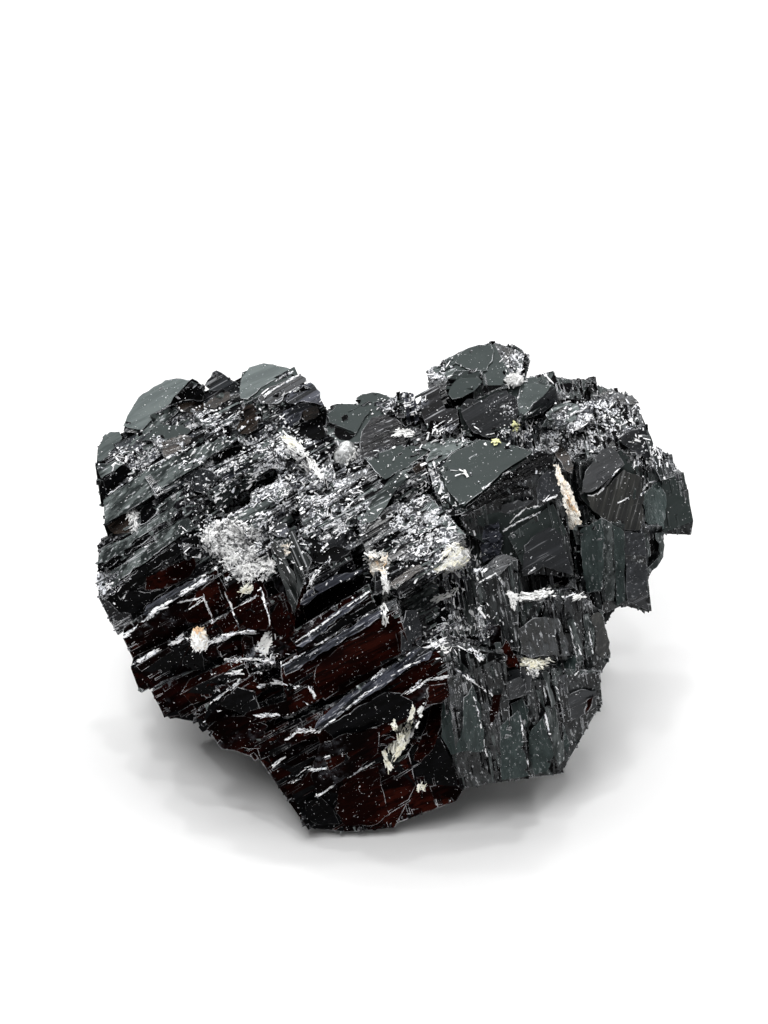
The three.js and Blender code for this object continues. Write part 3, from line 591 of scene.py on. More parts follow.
# Faces measured in the photograph: the material, how far each stands out in millimetres, and the x and y of
# its corners in pixels
FACES = [
    # the back tablets and the peak between them
    ("tablet", 0.1, [118, 424, 127, 405, 137, 391, 148, 384, 160, 377, 172, 375, 190, 379, 178, 391,
     166, 401, 160, 409, 146, 419, 138, 428, 128, 427]),
    ("tablet", 0.1, [91, 455, 93, 444, 98, 436, 104, 430, 114, 430, 117, 437, 110, 445, 104, 453, 97, 460,
     92, 460]),
    ("pale left", 0.1, [91, 462, 100, 463, 115, 460, 121, 463, 112, 470, 98, 478, 94, 470]),
    ("tablet", 0.1, [239, 388, 241, 376, 248, 366, 258, 363, 272, 363, 283, 366, 291, 369, 283, 374,
     270, 381, 256, 392, 247, 399, 240, 398]),
    ("left", 0.3, [258, 399, 262, 391, 280, 383, 301, 375, 306, 378, 307, 381, 300, 385, 284, 395, 279, 404,
     262, 404]),
    ("slate ridge", 0.1, [286, 401, 290, 393, 300, 386, 311, 383, 315, 386, 321, 393, 321, 400, 325, 407,
     316, 404, 304, 402, 296, 405, 288, 404]),
    ("ink", 0.3, [163, 406, 171, 396, 190, 377, 199, 383, 203, 392, 202, 400, 181, 400, 172, 403]),
    ("brown", 0.2, [172, 404, 183, 401, 202, 401, 203, 408, 190, 414, 176, 408]),
    ("left", 0.2, [211, 371, 215, 369, 224, 374, 233, 380, 238, 388, 232, 395, 222, 388, 211, 390, 203, 384,
     206, 379]),
    ("brown", 0.3, [203, 406, 212, 396, 222, 390, 228, 391, 229, 398, 222, 402, 214, 408]),
    ("brown", 0.4, [237, 429, 240, 414, 246, 406, 254, 404, 259, 418, 259, 429, 250, 434, 241, 434]),
    # the bands of the left side, from the top down
    ("pale left", 0.2, [138, 430, 160, 413, 172, 408, 176, 410, 166, 419, 150, 430, 140, 437]),
    ("smooth", 0.1, [140, 440, 155, 424, 180, 424, 190, 430, 175, 437, 160, 440, 152, 441]),
    ("brown", 0.2, [160, 441, 176, 437, 181, 431, 188, 436, 193, 440, 180, 449, 163, 457]),
    ("pale left", 0.2, [140, 446, 152, 442, 155, 450, 145, 459, 139, 462]),
    ("ink", 0.1, [100, 481, 120, 464, 130, 471, 118, 482, 103, 494]),
    ("ink", 0.1, [101, 496, 130, 478, 158, 460, 183, 449, 176, 455, 150, 467, 120, 487, 102, 499]),
    ("pale left", 1.1, [101, 500, 120, 487, 150, 467, 176, 455, 205, 444, 222, 436, 240, 438, 228, 447,
     213, 455, 203, 464, 187, 473, 165, 486, 150, 497, 130, 509, 104, 524, 102, 512]),
    ("slate", 0.3, [183, 479, 192, 472, 205, 468, 213, 471, 219, 480, 213, 490, 206, 493, 196, 491,
     191, 482]),
    ("pale left", 0.3, [213, 497, 222, 490, 240, 478, 253, 468, 262, 472, 262, 478, 250, 487, 232, 500,
     228, 507, 220, 507]),
    ("slate ridge", 0.3, [222, 475, 235, 468, 243, 464, 247, 466, 237, 475, 224, 481]),
    ("ink", 0.2, [213, 458, 228, 450, 240, 446, 254, 446, 252, 452, 238, 456, 226, 461, 214, 462]),
    ("ink", 0.1, [140, 510, 158, 498, 159, 510, 150, 520, 140, 525]),
    ("brown", 0.1, [105, 526, 126, 511, 130, 524, 138, 528, 128, 533, 113, 534]),
    ("pale left", 0.3, [97, 563, 100, 549, 112, 543, 122, 540, 140, 528, 158, 516, 176, 508, 182, 512,
     160, 524, 140, 537, 120, 552, 104, 563]),
    ("ink", 0.1, [97, 572, 104, 564, 122, 552, 141, 538, 162, 524, 172, 520, 160, 531, 140, 546, 120, 559,
     104, 572]),
    ("pale left", 0.5, [108, 574, 120, 566, 140, 552, 160, 539, 178, 523, 190, 518, 197, 525, 190, 531,
     175, 541, 160, 552, 140, 566, 120, 580, 113, 587, 108, 584]),
    ("worn", 0.4, [96, 574, 108, 572, 114, 580, 114, 588, 100, 596, 97, 590, 95, 582]),
    ("ink", 0.2, [115, 590, 140, 569, 165, 552, 185, 540, 200, 535, 203, 548, 190, 549, 175, 556, 160, 566,
     140, 578, 128, 592, 120, 600]),
    ("red clear", 0.3, [145, 590, 147, 577, 165, 569, 185, 560, 194, 555, 198, 565, 192, 575, 178, 583,
     160, 589]),
    ("slate ridge", 0.45, [147, 614, 150, 604, 165, 595, 180, 586, 200, 577, 216, 571, 219, 575, 210, 580,
     192, 590, 172, 602, 155, 613]),
    ("ink", 0.2, [103, 600, 118, 590, 150, 592, 175, 584, 165, 593, 148, 603, 140, 614, 119, 613]),
    # red glass between the bright lines
    ("red clear", 0.2, [185, 613, 200, 590, 219, 578, 228, 600, 234, 606, 218, 620, 200, 622, 190, 622]),
    ("red clear", 0.15, [219, 621, 237, 607, 254, 598, 263, 625, 250, 629, 232, 634]),
    ("red clear", 0.3, [254, 598, 257, 580, 266, 580, 272, 600, 276, 625, 263, 627]),
    ("red clear", 0.2, [281, 600, 290, 598, 298, 615, 296, 630, 288, 636, 278, 626, 274, 612]),
    ("red", 0.3, [220, 645, 232, 637, 244, 638, 247, 655, 232, 658, 222, 652]),
    ("red", 0.5, [248, 632, 256, 634, 257, 655, 246, 656, 245, 640]),
    ("ink", 0.3, [186, 655, 205, 648, 207, 668, 192, 668, 184, 662]),
    ("ink", 0.3, [222, 700, 240, 683, 258, 688, 262, 702, 246, 712, 230, 706]),
    ("red", 0.4, [209, 726, 222, 716, 246, 712, 270, 722, 262, 745, 240, 746, 225, 746]),
    ("red clear", 0.2, [318, 662, 340, 643, 366, 628, 396, 626, 399, 648, 385, 664, 365, 678, 345, 690,
     325, 695, 316, 675]),
    ("ink", 0.2, [325, 722, 345, 710, 365, 698, 388, 686, 410, 690, 416, 700, 412, 716, 385, 718, 360, 726,
     335, 735]),
    ("red", 0.3, [322, 738, 345, 728, 380, 722, 378, 748, 360, 764, 335, 780, 318, 792, 312, 770]),
    ("red clear", 0.2, [340, 784, 360, 768, 378, 762, 384, 790, 390, 812, 372, 824, 345, 824, 335, 806]),
    ("ink", 0.2, [306, 800, 322, 794, 334, 806, 340, 822, 318, 822, 308, 815]),
    ("red clear", 1.6, [413, 755, 420, 735, 427, 715, 432, 700, 441, 700, 440, 725, 432, 745, 420, 757]),
    ("red clear", 0.4, [424, 700, 428, 680, 444, 678, 448, 690, 440, 698, 432, 699]),
    ("red", 0.3, [400, 690, 415, 678, 427, 679, 424, 700, 416, 722, 410, 712, 412, 696]),
    # the fan of long crystals and the long ridges of the middle
    ("fan", 0.4, [272, 534, 280, 541, 290, 560, 298, 575, 300, 600, 297, 614, 290, 598, 283, 575,
     277, 556]),
    ("fan", 0.7, [291, 532, 297, 530, 305, 550, 314, 560, 306, 580, 300, 598, 299, 575, 292, 552]),
    ("slate ridge", 0.7, [271, 531, 280, 524, 288, 523, 292, 530, 289, 537, 280, 536]),
    ("ink", 0.1, [300, 524, 306, 526, 320, 540, 345, 547, 352, 550, 340, 560, 322, 562, 315, 560,
     304, 544]),
    ("slate", 0.6, [325, 545, 336, 536, 352, 530, 360, 538, 352, 547, 338, 549]),
    ("slate ridge", 0.5, [302, 602, 306, 593, 318, 583, 330, 577, 348, 571, 363, 568, 362, 572, 340, 581,
     320, 592, 309, 603]),
    ("ink", 0.3, [303, 606, 320, 593, 345, 581, 366, 574, 362, 585, 345, 595, 328, 606, 308, 622]),
    ("slate ridge", 0.6, [298, 642, 313, 628, 335, 610, 352, 599, 366, 590, 370, 592, 352, 607, 335, 620,
     318, 633, 305, 643]),
    ("ink", 0.3, [316, 636, 336, 621, 360, 606, 372, 598, 378, 605, 360, 614, 340, 628, 322, 640]),
    ("slate ridge", 0.6, [286, 664, 300, 654, 320, 643, 340, 631, 356, 621, 366, 612, 380, 606, 385, 610,
     370, 622, 352, 632, 330, 646, 310, 657, 297, 667, 288, 671]),
    ("slate ridge", 0.9, [316, 724, 322, 712, 340, 697, 360, 683, 380, 670, 400, 657, 408, 650, 420, 643,
     431, 647, 427, 655, 415, 660, 400, 669, 380, 684, 362, 695, 345, 706, 328, 720]),
    ("slate", 0.4, [400, 625, 405, 608, 416, 608, 421, 622, 420, 640, 412, 648, 401, 650]),
    ("brown", 0.3, [389, 582, 402, 572, 418, 563, 423, 567, 410, 576, 396, 587]),
    # the notch
    ("smooth", 0.3, [326, 415, 337, 404, 350, 404, 362, 407, 371, 409, 365, 417, 360, 427, 356, 434,
     345, 429, 337, 426, 330, 423]),
    ("smooth", 0.1, [356, 398, 362, 394, 372, 392, 385, 395, 390, 398, 380, 401, 370, 402, 362, 405]),
    ("ink", 0.1, [335, 427, 345, 430, 356, 435, 350, 440, 340, 440, 334, 434]),
    ("ink", 0.2, [396, 393, 400, 392, 401, 426, 398, 424]),
    ("slate ridge", 0.5, [403, 394, 407, 393, 411, 425, 407, 425]),
    ("slate ridge", 0.3, [409, 396, 413, 394, 419, 420, 415, 425]),
    ("ink", 0.2, [291, 432, 303, 423, 315, 418, 322, 416, 326, 437, 318, 440, 303, 440, 295, 438]),
    ("brown", 0.3, [305, 406, 318, 407, 320, 415, 305, 422, 303, 414]),
    ("slate ridge", 0.4, [281, 425, 284, 412, 300, 404, 308, 403, 314, 407, 303, 412, 301, 420, 292, 431,
     284, 433]),
    ("left dark", 0.2, [362, 432, 372, 418, 385, 415, 397, 420, 410, 438, 404, 450, 390, 452, 372, 458,
     361, 462, 360, 445]),
    # the smooth faces of the middle
    ("smooth", 0.2, [367, 462, 385, 452, 400, 446, 420, 448, 432, 446, 425, 455, 415, 462, 408, 468,
     398, 472, 385, 480, 375, 472]),
    ("pale left", 0.7, [386, 484, 397, 472, 409, 476, 400, 486, 392, 496, 383, 510, 372, 522, 362, 524,
     370, 505, 378, 494]),
    ("brown", 0.4, [411, 469, 418, 463, 425, 463, 424, 471, 415, 475]),
    ("smooth", 0.5, [437, 470, 450, 455, 462, 449, 480, 441, 500, 443, 520, 449, 530, 452, 523, 458,
     510, 466, 495, 478, 480, 492, 470, 499, 462, 506, 455, 500, 447, 492, 443, 480]),
    ("pale left", 0.3, [420, 448, 440, 438, 460, 441, 470, 443, 455, 451, 440, 462, 432, 470, 425, 462,
     430, 452]),
    ("ink", 0.15, [459, 516, 465, 506, 480, 494, 507, 473, 520, 462, 530, 455, 540, 451, 548, 455, 551, 463,
     545, 468, 535, 478, 531, 488, 520, 492, 505, 498, 490, 502, 475, 510]),
    ("slate", 0.5, [532, 490, 537, 477, 550, 467, 556, 472, 557, 490, 552, 497, 545, 501, 533, 500]),
    ("slate", 0.5, [500, 505, 515, 500, 530, 501, 520, 508, 505, 514, 498, 512]),
    ("slate", 0.5, [520, 560, 521, 545, 531, 535, 545, 527, 556, 533, 565, 560, 570, 575, 555, 570,
     540, 565, 530, 572, 520, 575]),
    ("slate ridge", 0.3, [483, 525, 496, 521, 501, 540, 497, 555, 482, 562, 478, 545]),
    ("slate", 0.5, [479, 566, 500, 553, 513, 557, 500, 569, 483, 579]),
    ("brown", 0.5, [553, 446, 558, 443, 566, 452, 572, 466, 570, 474, 562, 470, 556, 458]),
    # the upper right side
    ("smooth", 0.2, [460, 352, 470, 346, 480, 343, 492, 343, 495, 350, 493, 360, 487, 370, 475, 372,
     462, 365, 456, 362]),
    ("smooth", 0.3, [450, 388, 460, 379, 478, 378, 482, 382, 473, 392, 462, 398, 452, 400, 448, 395]),
    ("slate", 0.6, [460, 407, 466, 400, 480, 402, 490, 396, 505, 391, 515, 401, 517, 412, 515, 425,
     508, 433, 495, 437, 482, 437, 470, 430, 463, 420]),
    ("ink", 0.4, [470, 432, 483, 435, 490, 442, 480, 443, 468, 441, 463, 437]),
    ("pale left", 0.6, [455, 437, 460, 430, 468, 424, 472, 430, 463, 438]),
    ("left dark", 0.2, [421, 395, 435, 385, 440, 388, 440, 400, 445, 410, 457, 410, 458, 425, 450, 435,
     440, 430, 425, 425, 421, 410]),
    ("smooth", 0.4, [521, 385, 535, 383, 551, 385, 545, 395, 535, 405, 525, 415, 519, 419, 517, 400]),
    ("slate", 0.2, [552, 386, 558, 394, 558, 401, 545, 411, 530, 418, 521, 420, 530, 408, 542, 397]),
    ("pale left", 0.3, [545, 415, 555, 405, 565, 402, 577, 404, 580, 411, 575, 420, 560, 424, 548, 420]),
    ("left", 0.2, [605, 390, 615, 390, 630, 393, 640, 398, 643, 402, 628, 404, 612, 400, 604, 394]),
    ("slate", 0.4, [620, 438, 632, 430, 645, 425, 650, 440, 655, 460, 645, 456, 630, 450, 622, 444]),
    ("pale right", 0.6, [644, 422, 652, 438, 658, 458, 666, 478, 661, 481, 653, 463, 648, 445]),
    ("slate", 0.7, [580, 492, 583, 472, 592, 460, 600, 450, 607, 448, 615, 452, 622, 465, 612, 475,
     600, 485, 590, 492]),
    ("leaf", 0.7, [597, 491, 610, 482, 622, 470, 640, 478, 643, 500, 642, 515, 638, 530, 625, 530, 610, 524,
     600, 517, 588, 507, 585, 498]),
    ("teal", 0.5, [644, 495, 655, 482, 662, 482, 668, 500, 665, 528, 655, 532, 645, 520]),
    ("pale right", 0.4, [668, 482, 684, 472, 689, 480, 692, 500, 697, 520, 694, 531, 680, 532, 670, 528,
     668, 505]),
    ("left", 0.3, [552, 430, 550, 414, 565, 406, 580, 404, 594, 400, 600, 406, 592, 420, 572, 432]),
    # the columns of the lower right side
    ("slate", 0.3, [505, 668, 520, 664, 529, 672, 528, 690, 513, 695, 504, 685]),
    ("teal", 0.3, [508, 700, 520, 694, 526, 706, 524, 722, 511, 726]),
    ("pale right", 0.3, [597, 517, 608, 523, 612, 545, 614, 575, 612, 600, 604, 600, 600, 575, 600, 545]),
    ("teal", 0.5, [608, 524, 620, 531, 622, 560, 623, 600, 615, 606, 613, 575, 611, 545]),
    ("slate", 0.3, [622, 531, 641, 532, 646, 560, 645, 575, 642, 590, 632, 598, 624, 598, 622, 560]),
    ("slate", 0.5, [625, 601, 635, 588, 643, 578, 646, 592, 648, 610, 640, 607]),
    ("pale right", 0.9, [642, 533, 645, 533, 650, 556, 647, 557]),
    ("pale right", 0.8, [654, 533, 662, 532, 664, 545, 663, 557, 658, 550]),
    ("pale right", 0.8, [663, 557, 657, 567, 648, 573, 644, 578, 646, 569, 655, 560, 660, 553]),
    ("teal", 0.4, [576, 530, 598, 517, 600, 545, 600, 575, 598, 590, 585, 592, 579, 565]),
    ("right", 0.3, [515, 626, 530, 615, 553, 615, 562, 635, 566, 652, 555, 653, 540, 652, 528, 655,
     518, 650]),
    ("pale right", 0.7, [563, 618, 569, 616, 577, 640, 579, 662, 575, 668, 571, 645]),
    ("pale right", 0.5, [579, 613, 584, 611, 591, 632, 589, 652, 583, 656, 581, 635]),
    ("leaf", 0.4, [586, 615, 594, 610, 599, 613, 604, 635, 607, 656, 600, 656, 592, 650, 592, 630]),
    ("teal", 0.5, [545, 661, 560, 656, 573, 652, 574, 662, 571, 669, 560, 666, 549, 663]),
    ("pale right", 0.6, [538, 668, 543, 667, 552, 699, 548, 703]),
    ("ink", 0.3, [543, 667, 546, 667, 554, 698, 552, 701]),
    ("pale right", 0.7, [547, 668, 551, 668, 557, 696, 554, 698]),
    ("slate", 0.3, [500, 695, 500, 680, 516, 673, 522, 676, 522, 690, 512, 694]),
    ("red clear", 0.6, [490, 690, 499, 689, 497, 700, 493, 712, 489, 724, 487, 706]),
    ("teal", 0.5, [497, 722, 515, 706, 520, 720, 521, 740, 527, 772, 500, 776, 498, 745]),
    ("teal", 0.3, [527, 730, 540, 712, 547, 735, 552, 752, 545, 768, 533, 772, 528, 755]),
    ("teal", 0.4, [461, 692, 470, 680, 478, 700, 482, 730, 482, 747, 470, 747, 461, 732]),
    ("teal", 0.3, [441, 700, 455, 690, 461, 700, 461, 722, 468, 745, 450, 750, 440, 732]),
    ("pale right", 0.6, [541, 703, 552, 703, 557, 730, 563, 756, 556, 763, 550, 745, 544, 722]),
    ("teal", 0.4, [560, 720, 567, 738, 566, 752, 562, 745]),
    ("slate", 0.3, [565, 692, 578, 686, 592, 688, 594, 703, 580, 712, 568, 720]),
    ("red clear", 0.5, [583, 697, 590, 693, 588, 704, 582, 712]),
    ("red clear", 0.3, [495, 650, 503, 636, 512, 652, 517, 665, 505, 664]),
    ("red", 0.2, [483, 622, 497, 622, 500, 640, 492, 646, 484, 636]),
]
# The plates that the measured faces are made of, in millimetres
FIT_STEP = 0.3  # how far apart the places are that a plate is fitted to
STEEPEST = 0.9  # how far a plate falls back for each millimetre along it, at most
PLATE_TOP, PLATE_FOOT = 85, 10  # how many percent of the places lie below its front, and below its back
PLATE_MARGIN = 0.3  # how much deeper its back lies than that
THINNEST, THICKEST = 0.7, 3.5
RAG_STEP, RAG = 0.55, 0.07  # its sides are broken into pieces so long, whose ends are moved by so much
PUSH_STEP, PUSH_MOST = 0.1, 3.0  # it is pushed back into the specimen's box in such steps
HIDDEN_WITHIN = 3.5  # how far over the solid a measured face still hides it
JUST_OFF = 0.02  # how far off the surface a line starts


def blob_strength(front, blobs):
    """How far places are inside the nearest of some oval areas: 1 in the middle and 0 well outside."""
    strength = np.zeros(len(front))
    for u, v, half_u, half_v in blobs:
        spread = ((front[:, 0] - u) / half_u) ** 2 + ((front[:, 1] - v) / half_v) ** 2
        strength = np.maximum(strength, np.exp(-0.9 * spread))
    return strength


def inside_outline(front, outline):
    """Whether places lie inside an outline on the front."""
    inside = np.zeros(len(front), bool)
    for (u0, v0), (u1, v1) in zip(outline, outline[1:] + outline[:1]):
        crosses = (v0 > front[:, 1]) != (v1 > front[:, 1])
        at = u0 + (front[:, 1] - v0) / (v1 - v0 + 1e-12) * (u1 - u0)
        inside ^= crosses & (front[:, 0] < at)
    return inside


LIT_FACE = 0.62  # how far a face looks up, at least, to get the lit copy rather than the darker painted-shade copy
RED_FACE = 0.42  # how far a red face looks up the picture, at most
CALM_FACE = 0.2  # how far a smooth face looks forward, at least
CALM_LIMIT = 0.45  # how deep in a smooth area a smooth face lies, at least


def in_red(front, normals, lowest=0.0):
    """Whether places are in the red glass, on faces that look forward."""
    return inside_outline(front, RED_AREA) & (normals @ OUT > lowest)


def crust_kinds(places, normals):
    """Each place's material: by its side, a darker painted-shade copy where it doesn't face up, and red glass
    low in front.
    """
    front = to_front(places)
    # faces that don't look up get the darker copy, which is painted shade
    up = normals[:, 2] > LIT_FACE
    right = is_right(front)
    kinds = np.where(up, np.where(right, KIND["right"], KIND["left"]),
                     np.where(right, KIND["right painted shade"], KIND["left dark"]))
    kinds[in_red(front, normals, lowest=-0.2) & (normals @ UP < RED_FACE)] = KIND["red"]
    calm = (blob_strength(front, CALM) > CALM_LIMIT) & (normals @ OUT > CALM_FACE)
    kinds[calm] = KIND["smooth"]
    return kinds


BLACK_SHARE = 0.6  # how many of the swapped materials are black


def varied(rng, kinds, share):
    """The materials, with a share of them swapped at random for black ones, or for the pale ones of the same
    side, whose sheen is painted.
    """
    chance = rng.random(len(kinds))
    red = kinds == KIND["red"]
    smooth = kinds == KIND["smooth"]
    left = (kinds == KIND["left"]) | (kinds == KIND["left dark"])
    pale = chance > 1 - share * (1 - BLACK_SHARE)
    changed = np.where(chance < share * BLACK_SHARE, KIND["ink"], kinds)
    changed = np.where(pale, np.where(left, KIND["pale left"], KIND["pale right"]), changed)
    changed[red & pale] = KIND["red clear"]
    return np.where(smooth, kinds, changed)


def is_covered(place, slack):
    """Whether a place is inside the specimen, or no further from its surface than slack in millimetres."""
    return DRESSED.tree.find_nearest(Vector(place))[3] < slack * MM or SOLID.encloses(place)


# Where a crystal has to be covered, with its middle at 0 and its ends at -1 and 1
ENDS = (-1.0, 1.0)
INNER_STOPS = (-0.35, 0.35)
LONG_MM = 1.5  # how long it has to be for the inner stops to count as well
SHORTENED = (1.0, 0.7, 0.45, 0.28)  # the shares of its length that are tried


def fitting_lengths(centres, alongs, lengths, slack):
    """The lengths, shortened until each crystal is covered all along, and 0 where none fits."""
    fitted = np.zeros(len(lengths))
    for i, (centre, along, length) in enumerate(zip(centres, alongs, lengths)):
        stops = ENDS + INNER_STOPS if length > LONG_MM else ENDS
        for share in SHORTENED:
            reach = along * length * share * MM / 2
            if all(is_covered(centre + stop * reach, slack) for stop in stops):
                fitted[i] = length * share
                break
    return fitted


def laid_blocks(rng, places, normals, angles, sizes, tilt, twist, tumble, proud, slack, ragged=0.12):
    """Blocks that lie on the surface, as corners, with the index of the place of each.

    Tilt and twist are how far they differ in degrees, and tumble is how far each is turned at random at most.
    Proud is how far each stands out in millimetres, and slack how far its ends may be from the surface.
    """
    count = len(places)
    axes = lying_axes(normals, angles, rng.normal(0, tilt, count), rng.normal(0, twist, count))
    axes = tumbled(rng, axes, tumble)
    sizes = sizes.copy()
    centres = seated(places, normals, axes, sizes, proud)
    sizes[:, 0] = fitting_lengths(centres, axes[:, 0], sizes[:, 0], slack)
    keep = np.flatnonzero(sizes[:, 0] > 0)
    centres = seated(places, normals, axes, sizes, proud)
    blocks = blocks_at(rng, centres[keep], axes[keep], sizes[keep], ragged)
    inside = inside_box(blocks)
    return blocks[inside], keep[inside]


def spread_log(rng, low, high, count):
    """Random sizes between low and high, most of them small."""
    return low * (high / low) ** (rng.random(count) ** 1.6)


def random_sizes(rng, count, long_mm, wide_mm, thick_mm):
    """Random lengths, widths and thicknesses within these limits, most of them small."""
    return np.stack([spread_log(rng, *limits, count) for limits in (long_mm, wide_mm, thick_mm)], axis=1)


# The cluster: the solid's own faces, then the measured faces, long crystals on them, chips, and the pale
# ridges, partly wear and partly painted highlights

def solid_skin():
    """The solid's triangles, each with the direction of its side."""
    corners = triangles_of(SPECIMEN)
    angles = np.where(is_right(to_front(corners.mean(1))), RIGHT_ANGLE, LEFT_ANGLE)
    return Skin(corners, np.full(len(corners), KIND["left"]), angles, np.zeros(len(corners)))


SOLID = solid_skin()


SAME_PLACE = 0.002  # corners of the solid so near, in millimetres, are one
SAME_PLANE = 0.5  # faces that differ by so few degrees are one


def cluster():
    """The solid's faces, cleaned, each with the material of its place."""
    mesh = SPECIMEN.data.copy()
    mesh.materials.clear()
    for material in CRUST.values():
        mesh.materials.append(material)
    work = bmesh.new()
    work.from_mesh(mesh)
    bmesh.ops.remove_doubles(work, verts=work.verts, dist=SAME_PLACE * MM)
    bmesh.ops.dissolve_limit(work, angle_limit=math.radians(SAME_PLANE), verts=work.verts, edges=work.edges)
    bmesh.ops.triangulate(work, faces=[f for f in work.faces if len(f.verts) > 4])
    places = np.array([f.calc_center_median()[:] for f in work.faces])
    normals = np.array([f.normal[:] for f in work.faces])
    kinds = varied(np.random.default_rng(2), crust_kinds(places, normals), share=0.4)
    for face, kind in zip(work.faces, kinds):
        face.material_index = int(kind)
        face.smooth = False
    work.to_mesh(mesh)
    work.free()
    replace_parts(link_piece("crystal_cluster", mesh), "cassiterite")


# The photograph's scale, and where in it u and v are 0
PX_PER_MM = 10
MIDDLE_PX = 393.5
BOTTOM_PX = 830.0


def from_pixels(corners):
    """Places in the photograph, x and y in turn, as u and v."""
    corners = np.reshape(np.array(corners, float), (-1, 2))
    return (corners - (MIDDLE_PX, BOTTOM_PX)) * (1, -1) / PX_PER_MM


def ragged_outline(rng, outline):
    """The outline with corners added along its sides, each moved a little across."""
    points = []
    for start, end in zip(outline, np.roll(outline, -1, 0)):
        length = float(np.hypot(*(end - start)))
        pieces = max(1, round(length / RAG_STEP))
        across = np.array([start[1] - end[1], end[0] - start[0]]) / max(length, 1e-9)
        for i in range(pieces):
            off = 0.0 if i == 0 else rng.normal(0, RAG)
            points.append(start + (end - start) * i / pieces + across * off)
    return np.array(points)


def plate_slab(outline, lift):
    """A slab over the surface: its rim in front and its rim behind, as u, v, w."""
    low, high = outline.min(0), outline.max(0)
    grid = np.meshgrid(np.arange(low[0], high[0], FIT_STEP), np.arange(low[1], high[1], FIT_STEP))
    grid = np.stack(grid, -1).reshape(-1, 2)
    grid = grid[inside_outline(grid, [tuple(corner) for corner in outline])]
    spots = np.concatenate([grid, drawn_in(outline, 0.85)])
    felt = [(u, v, hit[0]) for u, v in spots for hit in [SOLID.feel(u, v)] if hit is not None]
    places = np.array([[u, v, to_front(hit)[2]] for u, v, hit in felt])
    middle = places.mean(0)
    sheet = np.stack([np.ones(len(places)), places[:, 0] - middle[0], places[:, 1] - middle[1]], axis=1)
    slopes = np.linalg.lstsq(sheet, places[:, 2], rcond=None)[0]
    slopes[1:] /= max(1.0, float(np.hypot(slopes[1], slopes[2])) / STEEPEST)
    misfit = places[:, 2] - sheet @ slopes
    rise = float(np.percentile(misfit, PLATE_TOP)) + lift
    depth = np.clip(rise - float(np.percentile(misfit, PLATE_FOOT)) + PLATE_MARGIN, THINNEST, THICKEST)
    plane = slopes[0] + (outline - middle[:2]) @ slopes[1:] + rise
    return np.column_stack([outline, plane]), np.column_stack([drawn_in(outline, 0.97), plane - depth])


def drawn_in(outline, share):
    """The outline, smaller by a share about its middle."""
    return outline * share + outline.mean(0) * (1 - share)


def pushed_inside(front, behind):
    """Both rims, moved back until the slab lies inside the specimen's box."""
    for push in np.arange(0.0, PUSH_MOST, PUSH_STEP):
        moved = to_world(np.concatenate([front, behind]) - np.array([0.0, 0.0, push]))
        if ((moved >= LOW) & (moved <= HIGH)).all():
            break
    return np.clip(moved, LOW, HIGH)


def measured_faces(rng):
    """The measured faces as slabs, and their triangles as a skin for the smaller crystals."""
    places, faces, kinds, corners, kept = [], [], [], [], []
    for kind, lift, outline in FACES:
        rims = pushed_inside(*plate_slab(ragged_outline(rng, from_pixels(outline)), lift))
        count, first = len(rims) // 2, len(places)
        places.extend(rims)
        ring = [first + i for i in range(count)]
        middle = rims[:count].mean(0)
        spokes = rims[:count] - middle
        if (np.cross(spokes, np.roll(spokes, -1, 0)) @ OUT).sum() < 0:
            ring = ring[::-1]
        back = [i + count for i in ring]
        faces.append(ring)
        faces.append(back[::-1])
        faces.extend([ring[i], back[i], back[(i + 1) % count], ring[(i + 1) % count]] for i in range(count))
        kinds.extend([KIND[kind]] * (count + 2))
        rim = np.array([places[i] for i in ring])
        corners.extend([middle, rim[i], rim[(i + 1) % count]] for i in range(count))
        kept.extend([(KIND[kind], ANGLES.get(kind, LEFT_ANGLE), BARE.get(kind, BARE_SMOOTH))] * count)
    add_piece("front_faces", np.array(places), faces, CRUST.values(), kinds)
    kept = np.array(kept)
    return Skin(np.array(corners), kept[:, 0].astype(int), kept[:, 1], kept[:, 2])


# The directions of the measured faces' crystals, where they aren't the left side's
ANGLES = {"pale right": RIGHT_ANGLE, "right": RIGHT_ANGLE, "teal": RIGHT_ANGLE, "fan": FAN_ANGLE,
          "leaf": LEAF_ANGLE}
# How bare the measured faces are: the striated ones carry many thin crystals, the others almost none
BARE = {"pale left": 0.35, "pale right": 0.3, "slate ridge": 0.2, "fan": 0.3, "left": 0.4, "left dark": 0.6,
        "right": 0.4, "red": 0.9, "worn": 0.2, "slate": 0.9, "teal": 0.88, "brown": 0.85, "ink": 0.93}
BARE_SMOOTH = 0.97


def is_hidden(place, normal):
    """Whether a measured face lies over a place of the solid, as seen from the front."""
    start = Vector(place + normal * JUST_OFF * MM)
    index = DRESSED.tree.ray_cast(start, Vector(OUT), HIDDEN_WITHIN * MM)[2]
    return index is not None and index >= len(SOLID.area)


def bare_share(pick, places, normals, front):
    """How bare each place of the dressed surface is, from 0 to 1."""
    on_solid = pick < len(SOLID.area)
    calm = blob_strength(front, CALM) * (normals @ OUT > CALM_FACE)
    bare = np.where(on_solid, np.clip(calm * 1.25, 0, 1), DRESSED.bare[pick])
    for i in np.flatnonzero(on_solid & (normals @ OUT > 0)):
        if is_hidden(places[i], normals[i]):
            bare[i] = 1.0
    return bare


def pierces(blocks):
    """Which blocks cut through a smooth face, from end to end."""
    found = []
    for start, end in zip(blocks[:, :4].mean(1), blocks[:, 4:].mean(1)):
        line = Vector(end - start)
        found.append(SMOOTH.tree.ray_cast(Vector(start), line, line.length)[0] is not None)
    return np.array(found)


